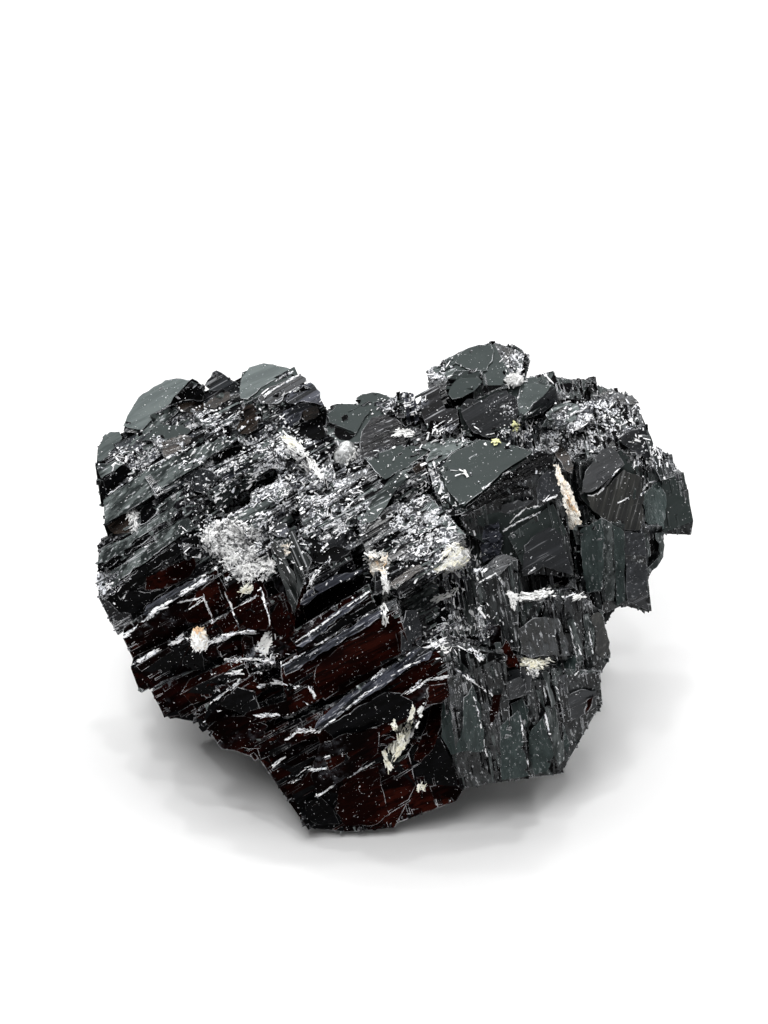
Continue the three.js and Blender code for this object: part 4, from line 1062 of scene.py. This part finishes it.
def long_crystals(rng, count):
    """Thin long crystals, side by side along each side's own direction, which step and stripe the faces."""
    pick, places = DRESSED.sample(rng, count)
    normals = DRESSED.normals[pick]
    front = to_front(places)
    on_solid = pick < len(SOLID.area)
    red = in_red(front, normals).astype(float)
    bare = np.maximum(bare_share(pick, places, normals, front), red * 0.7)
    keep = rng.random(count) > bare
    pick, places, normals, on_solid, red = (a[keep] for a in (pick, places, normals, on_solid, red))
    count = len(places)
    thin = np.where(on_solid, 1.0, 0.35)
    lengths, widths = spread_log(rng, 1.6, 9.0, count), spread_log(rng, 0.12, 0.7, count)
    sizes = np.stack([lengths, widths * thin * (1 + 0.8 * red), rng.uniform(0.4, 0.8, count)], axis=1)
    proud = rng.uniform(0.02, 0.2, count) * thin
    blocks, used = laid_blocks(rng, places, normals, DRESSED.angles[pick], sizes, tilt=11.0, twist=1.2,
                               tumble=0.0, proud=proud, slack=0.12)
    own = varied(rng, crust_kinds(places[used], normals[used]), share=0.5)
    kinds = np.where(on_solid[used], own, DRESSED.kinds[pick[used]])
    whole = ~pierces(blocks)
    add_crystals("long_crystals", blocks[whole], kinds[whole])


def clumps(places, rng, wave):
    """A smooth random share for each place, from 0 to 1, that changes over about so many millimetres."""
    lines = unit(rng.normal(size=(14, 3))) * (2 * math.pi / (wave * MM))
    waves = np.sin(places @ lines.T + rng.uniform(0, 6.3, 14)).mean(1)
    return np.clip(0.5 + 2.08 * waves, 0, 1)


def chips(rng, count):
    """Small broken crystals, thick where the surface is crushed and thin elsewhere."""
    pick, places = DRESSED.sample(rng, count)
    normals = DRESSED.normals[pick]
    front = to_front(places)
    crushed = blob_strength(front, CRUSHED) * (normals @ OUT > -0.1)
    bare = bare_share(pick, places, normals, front)
    keep = rng.random(count) < np.clip(0.015 + 0.8 * crushed - 0.75 * bare, 0.003, 1.0)
    pick, places, normals, crushed = (a[keep] for a in (pick, places, normals, crushed))
    count = len(places)
    sizes = random_sizes(rng, count, (0.2, 1.5), (0.1, 0.6), (0.1, 0.4))
    proud = rng.uniform(0.03, 0.12, count) + 0.25 * crushed * rng.random(count)
    blocks, used = laid_blocks(rng, places, normals, DRESSED.angles[pick], sizes, tilt=24.0, twist=12.0,
                               tumble=8.0 + 34.0 * crushed, proud=proud, slack=0.2, ragged=0.35)
    own = varied(rng, crust_kinds(places[used], normals[used]), share=0.8)
    kinds = np.where(rng.random(len(used)) < 0.4 * crushed[used], KIND["glitter"], own)
    add_crystals("crystal_chips", blocks, kinds)


def felt_front(rng, skin, count, low, high, chance):
    """Places and directions on the front, spread evenly over the picture, each kept by its chance."""
    spots = rng.uniform(low, high, (count, 2))
    spots = spots[rng.random(count) < chance(spots)]
    felt = [skin.feel(u, v) for u, v in spots]
    return [np.array(column) for column in zip(*[hit for hit in felt if hit is not None])]


def frost(rng, count):
    """White shards in clumps over the crushed areas."""
    places, normals, pick = felt_front(rng, DRESSED, count, FRONT_LOW, FRONT_HIGH,
                                       lambda spots: blob_strength(spots, CRUSHED))
    white = clumps(places, rng, wave=1.7)
    bare = np.where(pick < len(SOLID.area), 0.0, DRESSED.bare[pick])
    keep = rng.random(len(places)) < (0.16 + 0.7 * white ** 2) * (1 - 0.8 * bare)
    pick, places, normals = (a[keep] for a in (pick, places, normals))
    count = len(places)
    sizes = random_sizes(rng, count, (0.1, 0.8), (0.06, 0.3), (0.06, 0.2))
    blocks, used = laid_blocks(rng, places, normals, DRESSED.angles[pick], sizes, tilt=30.0, twist=30.0,
                               tumble=50.0, proud=rng.uniform(0.08, 0.35, count), slack=0.35, ragged=0.4)
    kinds = np.where(rng.random(len(used)) < 0.75, KIND["frost"], KIND["worn"])
    add_crystals("crystal_frost", blocks, kinds)


CLEAN_BELOW = 30.0  # v below which the right side carries little dust, as the red glass does
CLEANED = 0.65  # the share of the dust that is missing there


def dust(rng, count):
    """White specks of crystal dust all over the upper and front faces."""
    pick, places = DRESSED.sample(rng, count)
    normals = DRESSED.normals[pick]
    front = to_front(places)
    clean = (is_right(front) & (front[:, 1] < CLEAN_BELOW)) | in_red(front, normals)
    keep = ((normals[:, 2] > 0.1) | (normals @ OUT > 0.3)) & (rng.random(count) > clean * CLEANED)
    places, normals = places[keep], normals[keep]
    count = len(places)
    size = spread_log(rng, 0.03, 0.12, count)
    sizes = np.stack([size, size * rng.uniform(0.5, 1, count), size * rng.uniform(0.4, 0.8, count)], axis=1)
    flat = np.zeros(count)
    axes = tumbled(rng, lying_axes(normals, flat, flat, flat), 180.0)
    blocks = blocks_at(rng, seated(places, normals, axes, sizes, size * 0.6), axes, sizes, ragged=0.3)
    add_blocks("crystal_dust", blocks[inside_box(blocks)], [CRUST["frost"]])


# Pale ridges on the front, partly wear and partly painted highlights: the u and v of each one's points, then
# its width
RIDGES = [
    ([-26.2, 16.4, -20.8, 19.4, -18.7, 18.8, -15.4, 20.0, -13.8, 20.1], 0.5),
    ([-16.6, 17.2, -14.6, 17.4, -12.6, 17.4, -11.2, 16.3], 0.4),
    ([-19.1, 15.3, -17.5, 15.9, -15.0, 16.1, -12.3, 16.7], 0.4),
    ([-13.1, 14.7, -11.7, 15.1, -10.0, 14.9, -8.1, 14.7, -7.7, 13.6], 0.4),
    ([-13.7, 11.8, -11.2, 12.0], 0.3),
    ([-10.6, 11.6, -9.2, 12.2, -7.3, 12.5], 0.35),
    ([-10.6, 9.5, -9.4, 10.4, -7.7, 10.5], 0.3),
    ([-20.0, 11.6, -18.3, 12.8, -15.0, 15.3], 0.3),
    ([-18.7, 11.1, -17.3, 12.2, -15.2, 12.3], 0.3),
    ([-11.9, 6.8, -10.2, 8.0], 0.22),
    ([-10.0, 5.1, -8.1, 6.4, -6.5, 6.7], 0.22),
    ([-7.7, 3.7, -1.9, 7.2], 0.16),
    ([-7.9, 7.8, -5.9, 8.0], 0.2),
    ([-26.8, 19.4, -23.1, 22.3, -19.1, 24.8, -17.5, 25.8], 0.35),
    ([-21.1, 22.9, -18.7, 23.4, -17.8, 21.1], 0.12),
    ([-17.3, 25.6, -14.9, 20.1], 0.12),
    ([-17.8, 20.9, -14.0, 23.4], 0.12),
    ([-12.9, 24.1, -11.5, 19.5], 0.14),
    ([-9.1, 19.4, -2.4, 24.1], 0.1),
    ([-11.0, 16.7, -1.4, 22.6], 0.1),
    ([-7.4, 10.4, -3.0, 13.9, 1.0, 16.7, 3.4, 17.8], 0.16),
    ([-4.5, 14.0, -1.0, 16.4, 1.4, 18.0, 4.4, 19.0], 0.3),
    ([3.0, 18.6, 5.4, 19.5, 7.6, 18.6, 8.6, 17.6], 0.5),
    ([6.0, 16.6, 8.2, 15.0, 9.6, 14.0], 0.2),
    ([0.8, 13.8, 3.4, 15.6, 5.4, 15.9], 0.14),
    ([17.0, 21.4, 18.4, 15.9], 0.06),
    ([18.8, 21.6, 19.6, 17.8], 0.06),
    ([14.4, 15.9, 15.0, 13.2], 0.06),
    ([15.6, 15.9, 16.4, 12.9], 0.06),
    ([7.9, 13.6, 9.1, 8.1], 0.05),
    ([12.2, 12.7, 13.4, 6.1], 0.05),
    ([14.8, 12.1, 15.8, 8.1], 0.05),
    ([13.6, 16.9, 15.1, 16.9, 16.6, 16.4, 17.8, 15.9, 18.3, 16.4, 18.3, 18.0, 17.7, 21.0], 0.1),
    ([-29.3, 33.2, -25.0, 36.0, -21.2, 38.0], 0.07),
    ([-12.3, 44.7, -10.1, 45.9], 0.14),
    ([-13.0, 43.4, -11.0, 44.6, -9.3, 45.6], 0.12),
    ([-10.6, 43.0, -10.2, 43.8, -8.2, 44.7], 0.08),
    ([-21.3, 21.5, -18.7, 23.2, -17.8, 21.1], 0.09),
    ([-17.8, 20.9, -15.7, 22.3, -13.6, 23.4], 0.09),
    ([-9.0, 23.2, -7.8, 25.5, -6.2, 27.2], 0.14),
    ([-8.8, 13.3, -8.1, 12.9], 0.1),
    ([-10.4, 5.0, -8.4, 6.6, -6.6, 6.7], 0.12),
    ([0.7, 13.9, 2.6, 15.4, 5.0, 15.7], 0.08),
    ([7.6, 33.3, 9.4, 34.5, 11.3, 35.8], 0.16),
    ([3.9, 36.6, 4.5, 34.9, 5.3, 33.2], 0.35),
    ([11.6, 31.0, 12.8, 32.1, 14.2, 32.4], 0.18),
    ([14.6, 32.9, 15.9, 33.4], 0.16),
    ([10.7, 29.9, 12.5, 31.0, 14.7, 31.9], 0.08),
    ([8.6, 25.1, 9.9, 25.8, 10.6, 24.8], 0.1),
    ([12.6, 25.2, 13.8, 26.4], 0.12),
    ([16.9, 23.6, 17.9, 23.9], 0.16),
    ([18.6, 33.2, 20.2, 33.6], 0.12),
    ([20.5, 33.8, 21.2, 34.7, 22.2, 36.0], 0.1),
    ([22.3, 32.7, 23.4, 33.3], 0.08),
    ([24.6, 33.4, 25.6, 34.8, 26.4, 34.9], 0.12),
    ([26.8, 34.9, 28.6, 36.0], 0.12),
    ([22.6, 39.3, 24.2, 40.9, 25.4, 41.6], 0.14),
    ([17.0, 40.6, 19.0, 42.0], 0.2),
    ([15.2, 45.6, 16.8, 43.8], 0.14),
    ([18.0, 40.2, 21.8, 39.2, 23.0, 39.6], 0.12),
    ([17.2, 41.2, 20.6, 43.0], 0.18),
    ([18.8, 40.0, 22.6, 42.2], 0.22),
    ([21.0, 39.4, 24.2, 41.2], 0.16),
    ([15.8, 38.8, 19.4, 40.6], 0.18),
]


TRIES_PER_MM = 8  # how many chips are tried for each millimetre of a thin ridge
WIDE_TRIES = 80  # how many more for each millimetre of its width
FACES_FORWARD = 0.15  # how far the surface under a chip looks forward, at least


def ridge_places(rng):
    """Places in ragged rows along the ridges, which swell and thin: place, normal, direction and width."""
    rows = []
    for points, full in RIDGES:
        swell, phase = rng.uniform(0.8, 1.6), rng.uniform(0, 6.3)
        points = np.reshape(points, (-1, 2)).tolist()
        for (u0, v0), (u1, v1) in zip(points, points[1:]):
            length = math.hypot(u1 - u0, v1 - v0)
            angle = math.degrees(math.atan2(v1 - v0, u1 - u0))
            for _ in range(int(length * (TRIES_PER_MM + WIDE_TRIES * full))):
                share = rng.random()
                width = full * (0.55 + 0.6 * math.sin(swell * share * length + phase))
                if rng.random() > width / full:
                    continue
                off = rng.normal(0, width * 0.28)
                u = u0 + share * (u1 - u0) - off * math.sin(math.radians(angle))
                v = v0 + share * (v1 - v0) + off * math.cos(math.radians(angle))
                felt = DRESSED.feel(u, v)
                if felt is not None and felt[1] @ OUT >= FACES_FORWARD:
                    rows.append((felt[0], felt[1], angle, width))
    return [np.array(column) for column in zip(*rows)]


def ridge_chips(rng):
    """Pale chips along the ridges, partly wear and partly painted highlights."""
    places, normals, angles, widths = ridge_places(rng)
    count = len(places)
    sizes = np.stack([spread_log(rng, 0.15, 1.1, count), spread_log(rng, 0.04, 0.11, count) + 0.06 * widths,
                      rng.uniform(0.08, 0.25, count)], axis=1)
    blocks, used = laid_blocks(rng, places, normals, angles, sizes, tilt=20.0, twist=9.0, tumble=12.0,
                               proud=rng.uniform(0.04, 0.16, count), slack=0.3, ragged=0.35)
    chance = rng.random(len(used))
    kinds = np.where(chance < 0.25, KIND["worn"], np.where(chance < 0.85, KIND["frost"], KIND["slate ridge"]))
    add_crystals("ridge_wear_and_highlights", blocks, kinds)


cluster()
# The solid with the measured faces on it, and its smooth faces alone
DRESSED = SOLID.joined(measured_faces(np.random.default_rng(12)))
SMOOTH = DRESSED.part(np.isin(DRESSED.kinds, [KIND["smooth"], KIND["tablet"]]))
long_crystals(np.random.default_rng(3), count=14000)
chips(np.random.default_rng(4), count=70000)
frost(np.random.default_rng(7), count=90000)
dust(np.random.default_rng(6), count=9000)
ridge_chips(np.random.default_rng(5))


# Grains of other minerals

def flaky(name, pale, dark, rough, blotches=1400.0):
    """Pearly mica or cream feldspar, blotched and finely ridged."""
    nodes = Nodes(name)
    blotch = nodes.ramp(nodes.noise(blotches, 3.0, 0.6), 0.38, 0.58)
    fine = nodes.noise(6000.0, 2.0, 0.6)
    nodes.set(
        base_color=nodes.mix(blotch, dark, pale),
        roughness=nodes.ramp(fine, 0.3, 0.7, rough, rough + 0.25),
        ior=1.58,
        normal=nodes.bump(fine, 0.03, 0.6),
    )
    return nodes.material


MICA = flaky("silvery mica", rgb(0.97, 0.97, 0.96), rgb(0.72, 0.72, 0.71), 0.3)
DIM_MICA = flaky("speckled mica", rgb(0.86, 0.86, 0.86), rgb(0.07, 0.072, 0.075), 0.26, blotches=2600.0)
YELLOW_MICA = flaky("yellowish mica", rgb(0.97, 0.96, 0.88), rgb(0.84, 0.81, 0.66), 0.34)
YELLOW = flaky("yellow-green mica", rgb(0.9, 0.9, 0.5), rgb(0.66, 0.66, 0.34), 0.4)
FELDSPAR = flaky("cream feldspar", rgb(0.98, 0.95, 0.89), rgb(0.93, 0.83, 0.7), 0.4)
ORANGE = flaky("orange feldspar", rgb(0.88, 0.66, 0.44), rgb(0.7, 0.46, 0.26), 0.4)


def clear_quartz():
    """Clear quartz with cloudy, pale patches."""
    nodes = Nodes("clear quartz")
    cloud = nodes.ramp(nodes.noise(1300.0, 4.0, 0.7), 0.42, 0.6)
    nodes.set(
        base_color=nodes.mix(cloud, rgb(0.3, 0.31, 0.31), rgb(0.92, 0.93, 0.93)),
        roughness=nodes.ramp(cloud, 0.0, 1.0, 0.04, 0.3),
        ior=1.54,
        transmission_weight=0.3,
        normal=nodes.bump(nodes.noise(1800.0, 2.0), 0.03, 0.6),
    )
    return nodes.material


QUARTZ = clear_quartz()


def node_shape(node):
    """A node's middle, and the half lengths and directions of its three main axes, longest first."""
    places = vertices_of(frame["nodes"][node]) * MM
    middle = (places.min(0) + places.max(0)) / 2
    _, _, axes = np.linalg.svd(places - places.mean(0), full_matrices=False)
    reach = np.abs((places - middle) @ axes.T).max(0)
    return middle, reach, axes


FLAKES_WITHIN = 0.82  # the share of a node's form that the flakes' middles fill


def flakes(name, node, material, slot, count, most_mm, tumble, fan):
    """A bunch of thin flakes that fills a node's form. fan spreads them from the lower end."""
    rng = np.random.default_rng(len(name) * 7 + count)
    middle, reach, axes = node_shape(node)
    spot = unit(rng.normal(size=(count, 3))) * rng.random((count, 1)) ** 0.45 * FLAKES_WITHIN
    places = middle + np.einsum("nk,kj->nj", spot * reach, axes)
    turned = tumbled(rng, np.repeat(axes[None], count, axis=0), tumble)
    if fan:
        swing = np.radians(fan) * spot[:, 1:2]
        along = unit(turned[:, 0] + np.tan(swing) * turned[:, 1])
        up = unit(np.cross(along, turned[:, 1]))
        turned = np.stack([along, np.cross(up, along), up], axis=1)
    sizes = np.stack([rng.uniform(0.5, 1.0, count) * most for most in most_mm], axis=1)
    blocks = blocks_at(rng, places, turned, sizes, ragged=0.3)
    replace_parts(add_blocks(name, blocks[inside_box(blocks)], [material]), node)


STONE_SHARE = 0.97  # how large a stone is beside its node


def pebble(name, node, material, slot, lumpy, facets):
    """A rounded grain in a node's form, with lumps and flattened facets."""
    rng = np.random.default_rng(len(name) * 13)
    middle, reach, axes = node_shape(node)
    work = bmesh.new()
    bmesh.ops.create_icosphere(work, subdivisions=5, radius=1.0)
    sphere = np.array([v.co[:] for v in work.verts])
    faces = np.array([[v.index for v in f.verts] for f in work.faces])
    work.free()
    cuts = unit(rng.normal(size=(facets, 3)))
    radius = np.ones(len(sphere))
    for cut, level in zip(cuts, rng.uniform(0.78, 0.96, facets)):
        radius = np.minimum(radius, level / np.maximum(sphere @ cut, 1e-3) + 0.02)
    waves = rng.normal(size=(7, 3)) * 5
    radius += lumpy * np.sin(sphere @ waves.T + rng.uniform(0, 6, 7)).mean(1)
    places = middle + np.einsum("nk,kj->nj", sphere * radius[:, None] * reach * STONE_SHARE, axes)
    obj = add_piece(name, places, faces, [material])
    obj.data.polygons.foreach_set("use_smooth", [True] * len(obj.data.polygons))
    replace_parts(obj, node)


# Grains made of flakes: the piece, its node, material and slot, how many flakes, the most they measure in
# millimetres, how far each is turned at random and how far they fan out, both in degrees
BUNCHES = [
    ("mica_patch_flakes", "mica_patch", DIM_MICA, "mica", 900, (0.6, 0.3, 0.07), 70.0, 0.0),
    ("mica_tuft_flakes", "mica_tuft", YELLOW_MICA, "mica", 520, (1.1, 0.16, 0.1), 60.0, 0.0),
    ("mica_blade_flakes", "mica_blades", YELLOW_MICA, "mica", 46, (1.8, 0.13, 0.1), 20.0, 40.0),
    ("mica_fork_flakes", "mica_fork", YELLOW_MICA, "mica", 60, (1.6, 0.16, 0.1), 18.0, 30.0),
    ("mica_sliver_flakes", "mica_sliver", DIM_MICA, "mica", 110, (0.9, 0.16, 0.1), 40.0, 0.0),
    ("mica_lip_flakes", "mica_lip", MICA, "mica", 70, (1.2, 0.14, 0.1), 12.0, 0.0),
    ("mica_speck_flakes", "mica_speck", MICA, "mica", 120, (0.6, 0.4, 0.15), 60.0, 0.0),
    ("feldspar_vein_crumbs", "feldspar_vein", FELDSPAR, "feldspar", 420, (0.7, 0.4, 0.35), 60.0, 0.0),
    ("feldspar_chip_crumbs", "feldspar_chip", FELDSPAR, "feldspar", 120, (0.7, 0.5, 0.4), 70.0, 0.0),
]
# Rounded grains: the piece, its node, material and slot, how deep its lumps are and how many facets it has
STONES = [
    ("feldspar_bead_stone", "feldspar_bead", FELDSPAR, "feldspar", 0.12, 6),
    ("quartz_bead_stone", "quartz_bead", QUARTZ, "quartz", 0.05, 4),
    ("quartz_grain_stone", "quartz_grain", QUARTZ, "quartz", 0.08, 7),
]
for bunch in BUNCHES:
    flakes(*bunch)
for stone in STONES:
    pebble(*stone)

# Grains that lie on the crystals: the material, the way its flakes point in the picture and how far they
# differ, both in degrees, and the x and y of the area's corners in pixels of the photograph
MICA_MATERIALS = {"white": MICA, "grey": DIM_MICA, "cream": YELLOW_MICA, "yellow": YELLOW}
MICA_AREAS = [
    ("grey", 30, 60, [203, 536, 214, 524, 240, 520, 262, 530, 256, 545, 262, 556, 278, 560, 279, 570,
     262, 579, 240, 578, 222, 560, 208, 548]),
    ("white", 30, 60, [203, 536, 212, 527, 222, 530, 214, 540, 206, 544]),
    ("white", 30, 60, [226, 523, 238, 520, 252, 527, 246, 536, 238, 534, 232, 528]),
    ("white", 30, 60, [222, 548, 234, 544, 244, 552, 240, 562, 228, 560]),
    ("white", 30, 60, [240, 566, 252, 560, 262, 568, 258, 578, 244, 577]),
    ("white", 0, 60, [254, 566, 264, 556, 276, 558, 280, 566, 273, 572, 260, 571]),
    ("cream", 20, 40, [245, 585, 250, 581, 256, 583, 255, 590, 248, 593, 244, 592]),
    ("white", -6, 10, [505, 588, 514, 590, 524, 592, 535, 591, 536, 595, 526, 598, 514, 597, 506, 594]),
    ("white", 24, 10, [534, 591, 542, 588, 550, 584, 558, 579, 556, 585, 549, 590, 541, 594, 535, 595]),
    ("white", -80, 16, [507, 593, 515, 594, 513, 603, 510, 609, 508, 602]),
    ("white", 12, 16, [566, 595, 574, 591, 583, 593, 576, 597]),
    ("cream", -12, 18, [519, 651, 525, 654, 533, 657, 541, 655, 549, 653, 551, 657, 541, 661, 533, 663,
     526, 665, 520, 659]),
    ("white", -70, 30, [524, 662, 533, 663, 536, 670, 529, 673, 524, 668]),
    ("white", 0, 70, [505, 378, 512, 373, 519, 374, 522, 381, 516, 386, 507, 384]),
    ("white", 5, 30, [395, 433, 403, 430, 414, 432, 412, 438, 403, 438, 396, 440]),
    ("white", -50, 20, [459, 472, 461, 471, 464, 473, 466, 477, 463, 477, 460, 475]),
    ("white", -40, 30, [281, 440, 288, 435, 293, 439, 301, 446, 310, 455, 306, 458, 296, 452, 287, 446]),
    ("cream", -36, 16, [284, 439, 290, 437, 298, 446, 302, 450, 296, 450, 288, 444]),
    ("white", -60, 24, [305, 456, 311, 458, 318, 466, 324, 477, 330, 486, 325, 484, 316, 474, 309, 465]),
    ("yellow", 0, 50, [490, 440, 494, 438, 498, 441, 499, 445, 494, 447, 490, 443]),
    ("yellow", 60, 50, [510, 426, 515, 421, 517, 428, 513, 433, 510, 430]),
    ("cream", 45, 34, [441, 557, 446, 548, 455, 540, 461, 546, 459, 555, 466, 560, 458, 567, 449, 571,
     440, 567, 431, 568, 439, 562]),
    ("white", 20, 40, [438, 560, 446, 545, 463, 541, 468, 552, 463, 566, 447, 572]),
    ("cream", 78, 9, [402, 730, 407, 714, 411, 699, 414, 702, 411, 718, 407, 732]),
    ("cream", -66, 9, [390, 716, 394, 715, 400, 726, 405, 738, 400, 742, 396, 730]),
    ("cream", 70, 14, [397, 734, 401, 728, 406, 733, 406, 741, 401, 746, 398, 753, 395, 749, 398, 740]),
    ("cream", -68, 9, [382, 746, 387, 748, 392, 764, 388, 766, 384, 757]),
    ("white", 58, 10, [404, 736, 412, 722, 421, 713, 418, 722, 409, 735]),
    ("white", 62, 10, [416, 708, 421, 694, 423, 696, 420, 709]),
    ("white", 60, 40, [261, 641, 266, 632, 272, 627, 274, 638, 270, 649, 263, 651]),
    ("white", 70, 40, [127, 512, 134, 508, 139, 513, 138, 522, 131, 524, 126, 518]),
    ("grey", 70, 40, [130, 521, 138, 519, 140, 530, 134, 534]),
    ("white", 27, 12, [428, 600, 438, 594, 452, 588, 458, 587, 452, 593, 441, 599, 432, 602]),
    ("white", 30, 60, [439, 643, 446, 639, 450, 646, 444, 650]),
    ("cream", 30, 60, [416, 782, 421, 777, 425, 785, 420, 789]),
    ("white", 75, 40, [345, 462, 350, 455, 356, 447, 358, 452, 353, 462, 347, 467]),
]
FELDSPAR_MATERIALS = {"cream": FELDSPAR, "orange": ORANGE, "white": MICA}
FELDSPAR_AREAS = [
    ("cream", 0, 60, [368, 556, 373, 552, 381, 552, 387, 557, 388, 565, 384, 574, 378, 571, 371, 564]),
    ("white", 60, 60, [366, 555, 371, 550, 383, 550, 389, 557, 386, 562, 372, 560]),
    ("orange", 0, 50, [376, 560, 382, 558, 385, 562, 379, 567]),
    ("white", -80, 20, [380, 572, 386, 570, 389, 586, 386, 600, 387, 620, 383, 623, 381, 600, 383, 588]),
    ("cream", -80, 14, [551, 467, 556, 468, 560, 480, 562, 492, 557, 494, 553, 482]),
    ("cream", -62, 14, [556, 490, 561, 488, 567, 502, 574, 512, 577, 522, 572, 529, 566, 521, 562, 508]),
    ("orange", -75, 14, [562, 494, 565, 496, 571, 508, 573, 515, 568, 512]),
    ("orange", 0, 50, [196, 627, 201, 624, 206, 628, 202, 633, 198, 632]),
    ("white", 60, 50, [194, 636, 203, 631, 211, 638, 207, 649, 198, 646]),
    ("cream", 60, 50, [286, 545, 292, 543, 293, 552, 288, 553]),
]
FLAKES_PER_MM2 = 46  # how many places are tried for each square millimetre around an area


def grain_skin():
    """The crystals' surface together with the grains' own."""
    grains = [obj for node, obj in frame["nodes"].items() if node not in (ROOT, "cassiterite")]
    corners = np.concatenate([triangles_of(obj) for obj in grains])
    blank = np.zeros(len(corners))
    return DRESSED.joined(Skin(corners, blank.astype(int), blank, blank))


GRAINED = grain_skin()


def grain_areas(name, table, materials, seed):
    """Small flakes and crumbs that lie all over the areas of a table."""
    rng = np.random.default_rng(seed)
    names = list(materials)
    places, normals, angles, kinds, extents = [], [], [], [], []
    for kind, angle, differ, outline in table:
        area = [tuple(corner) for corner in from_pixels(outline)]
        low, high = np.min(area, 0), np.max(area, 0)
        tries = int(FLAKES_PER_MM2 * float(np.prod(high - low)))
        found = felt_front(rng, GRAINED, tries, low, high, lambda spots: inside_outline(spots, area))
        count = len(found[0])
        places.extend(found[0])
        normals.extend(found[1])
        angles.extend(angle + rng.normal(0, differ, count))
        kinds.extend([names.index(kind)] * count)
        extents.extend([float(max(high - low))] * count)
    places, normals, angles, kinds, extents = map(np.array, (places, normals, angles, kinds, extents))
    count = len(places)
    lengths = np.minimum(spread_log(rng, 0.18, 1.0, count), np.minimum(1.0, extents * 0.6))
    sizes = np.stack([lengths, spread_log(rng, 0.06, 0.24, count), rng.uniform(0.04, 0.16, count)], axis=1)
    blocks, used = laid_blocks(rng, places, normals, angles, sizes, tilt=24.0, twist=6.0, tumble=16.0,
                               proud=rng.uniform(0.08, 0.4, count), slack=1.8, ragged=0.4)
    add_blocks(name, blocks, materials.values(), kinds[used])


grain_areas("mica_scales", MICA_AREAS, MICA_MATERIALS, seed=13)
grain_areas("feldspar_crumbs", FELDSPAR_AREAS, FELDSPAR_MATERIALS, seed=14)


# The floor, the lights and the camera

FLOOR_GREY = rgb(0.86, 0.86, 0.86)
FLOOR_HALF = 2.0  # half its side, in metres


def floor():
    corners = [(u * FLOOR_HALF, v * FLOOR_HALF, 0) for u, v in ((-1, -1), (1, -1), (1, 1), (-1, 1))]
    mesh = bpy.data.meshes.new("floor")
    mesh.from_pydata(corners, [], [(0, 1, 2, 3)])
    nodes = Nodes("pale floor")
    nodes.set(base_color=FLOOR_GREY, roughness=0.7)
    mesh.materials.append(nodes.material)
    obj = bpy.data.objects.new("floor", mesh)
    bpy.context.scene.collection.objects.link(obj)


def set_up(name, data, place, aim):
    """A lamp or a camera at a place, facing another one."""
    obj = bpy.data.objects.new(name, data)
    obj.location = place
    obj.rotation_euler = (Vector(aim) - obj.location).to_track_quat("-Z", "Y").to_euler()
    bpy.context.scene.collection.objects.link(obj)
    return obj


LIGHTS_AIM = (0.0, 0.0, 0.018)  # the place that all lights face, in metres


def softbox(name, place, size, radiance):
    """A rectangular light that faces the specimen. radiance is how bright its face looks."""
    lamp = bpy.data.lights.new(name, "AREA")
    lamp.shape = "RECTANGLE"
    lamp.size, lamp.size_y = size
    lamp.energy = radiance * math.pi * size[0] * size[1]
    set_up(name, lamp, place, LIGHTS_AIM)


def on_sky(azimuth, elevation, distance):
    """A place at an azimuth from behind the specimen, clockwise from above, and at an elevation."""
    turn, rise = math.radians(azimuth), math.radians(elevation)
    return (distance * math.cos(rise) * math.sin(turn), distance * math.cos(rise) * math.cos(turn),
            distance * math.sin(rise))


# The soft lights: azimuth and elevation in degrees, distance and size in metres, and radiance
SOFT_LIGHTS = [
    ("overhead", 0, 70, 0.7, (0.9, 0.7), 2.1),
    ("front lamp", 195, 56, 0.7, (0.26, 0.26), 10.0),
    ("front fill", 180, 22, 0.8, (0.9, 0.6), 0.35),
    ("right panel", 110, 30, 0.7, (0.3, 0.4), 0.9),
]
# The small lamps that make the crystals sparkle: azimuth and elevation in degrees
SPARKLES = [(-75, 52), (-35, 66), (35, 50), (75, 64), (150, 66), (205, 72)]
SPARKLE_DISTANCE = 0.7
SPARKLE_SIZE = (0.045, 0.045)
SPARKLE_RADIANCE = 80.0
SKY_STRENGTH = 0.08


def lights():
    world = bpy.data.worlds.new("studio")
    world.use_nodes = True
    world.node_tree.nodes["Background"].inputs["Color"].default_value = WHITE_TINT
    world.node_tree.nodes["Background"].inputs["Strength"].default_value = SKY_STRENGTH
    bpy.context.scene.world = world
    for name, azimuth, elevation, distance, size, radiance in SOFT_LIGHTS:
        softbox(name, on_sky(azimuth, elevation, distance), size, radiance)
    for azimuth, elevation in SPARKLES:
        softbox("sparkle", on_sky(azimuth, elevation, SPARKLE_DISTANCE), SPARKLE_SIZE, SPARKLE_RADIANCE)


def camera():
    lens = bpy.data.cameras.new("camera")
    lens.lens = LENS
    lens.sensor_width = SENSOR
    lens.clip_start = CLIP_START
    aim = to_world([*PICTURE_CENTRE, PICTURE_DEPTH])
    distance = LENS / SENSOR * PICTURE_MM * MM
    bpy.context.scene.camera = set_up("camera", lens, aim + OUT * distance, aim)


floor()
lights()
camera()
bpy.context.scene.view_settings.view_transform = "Standard"
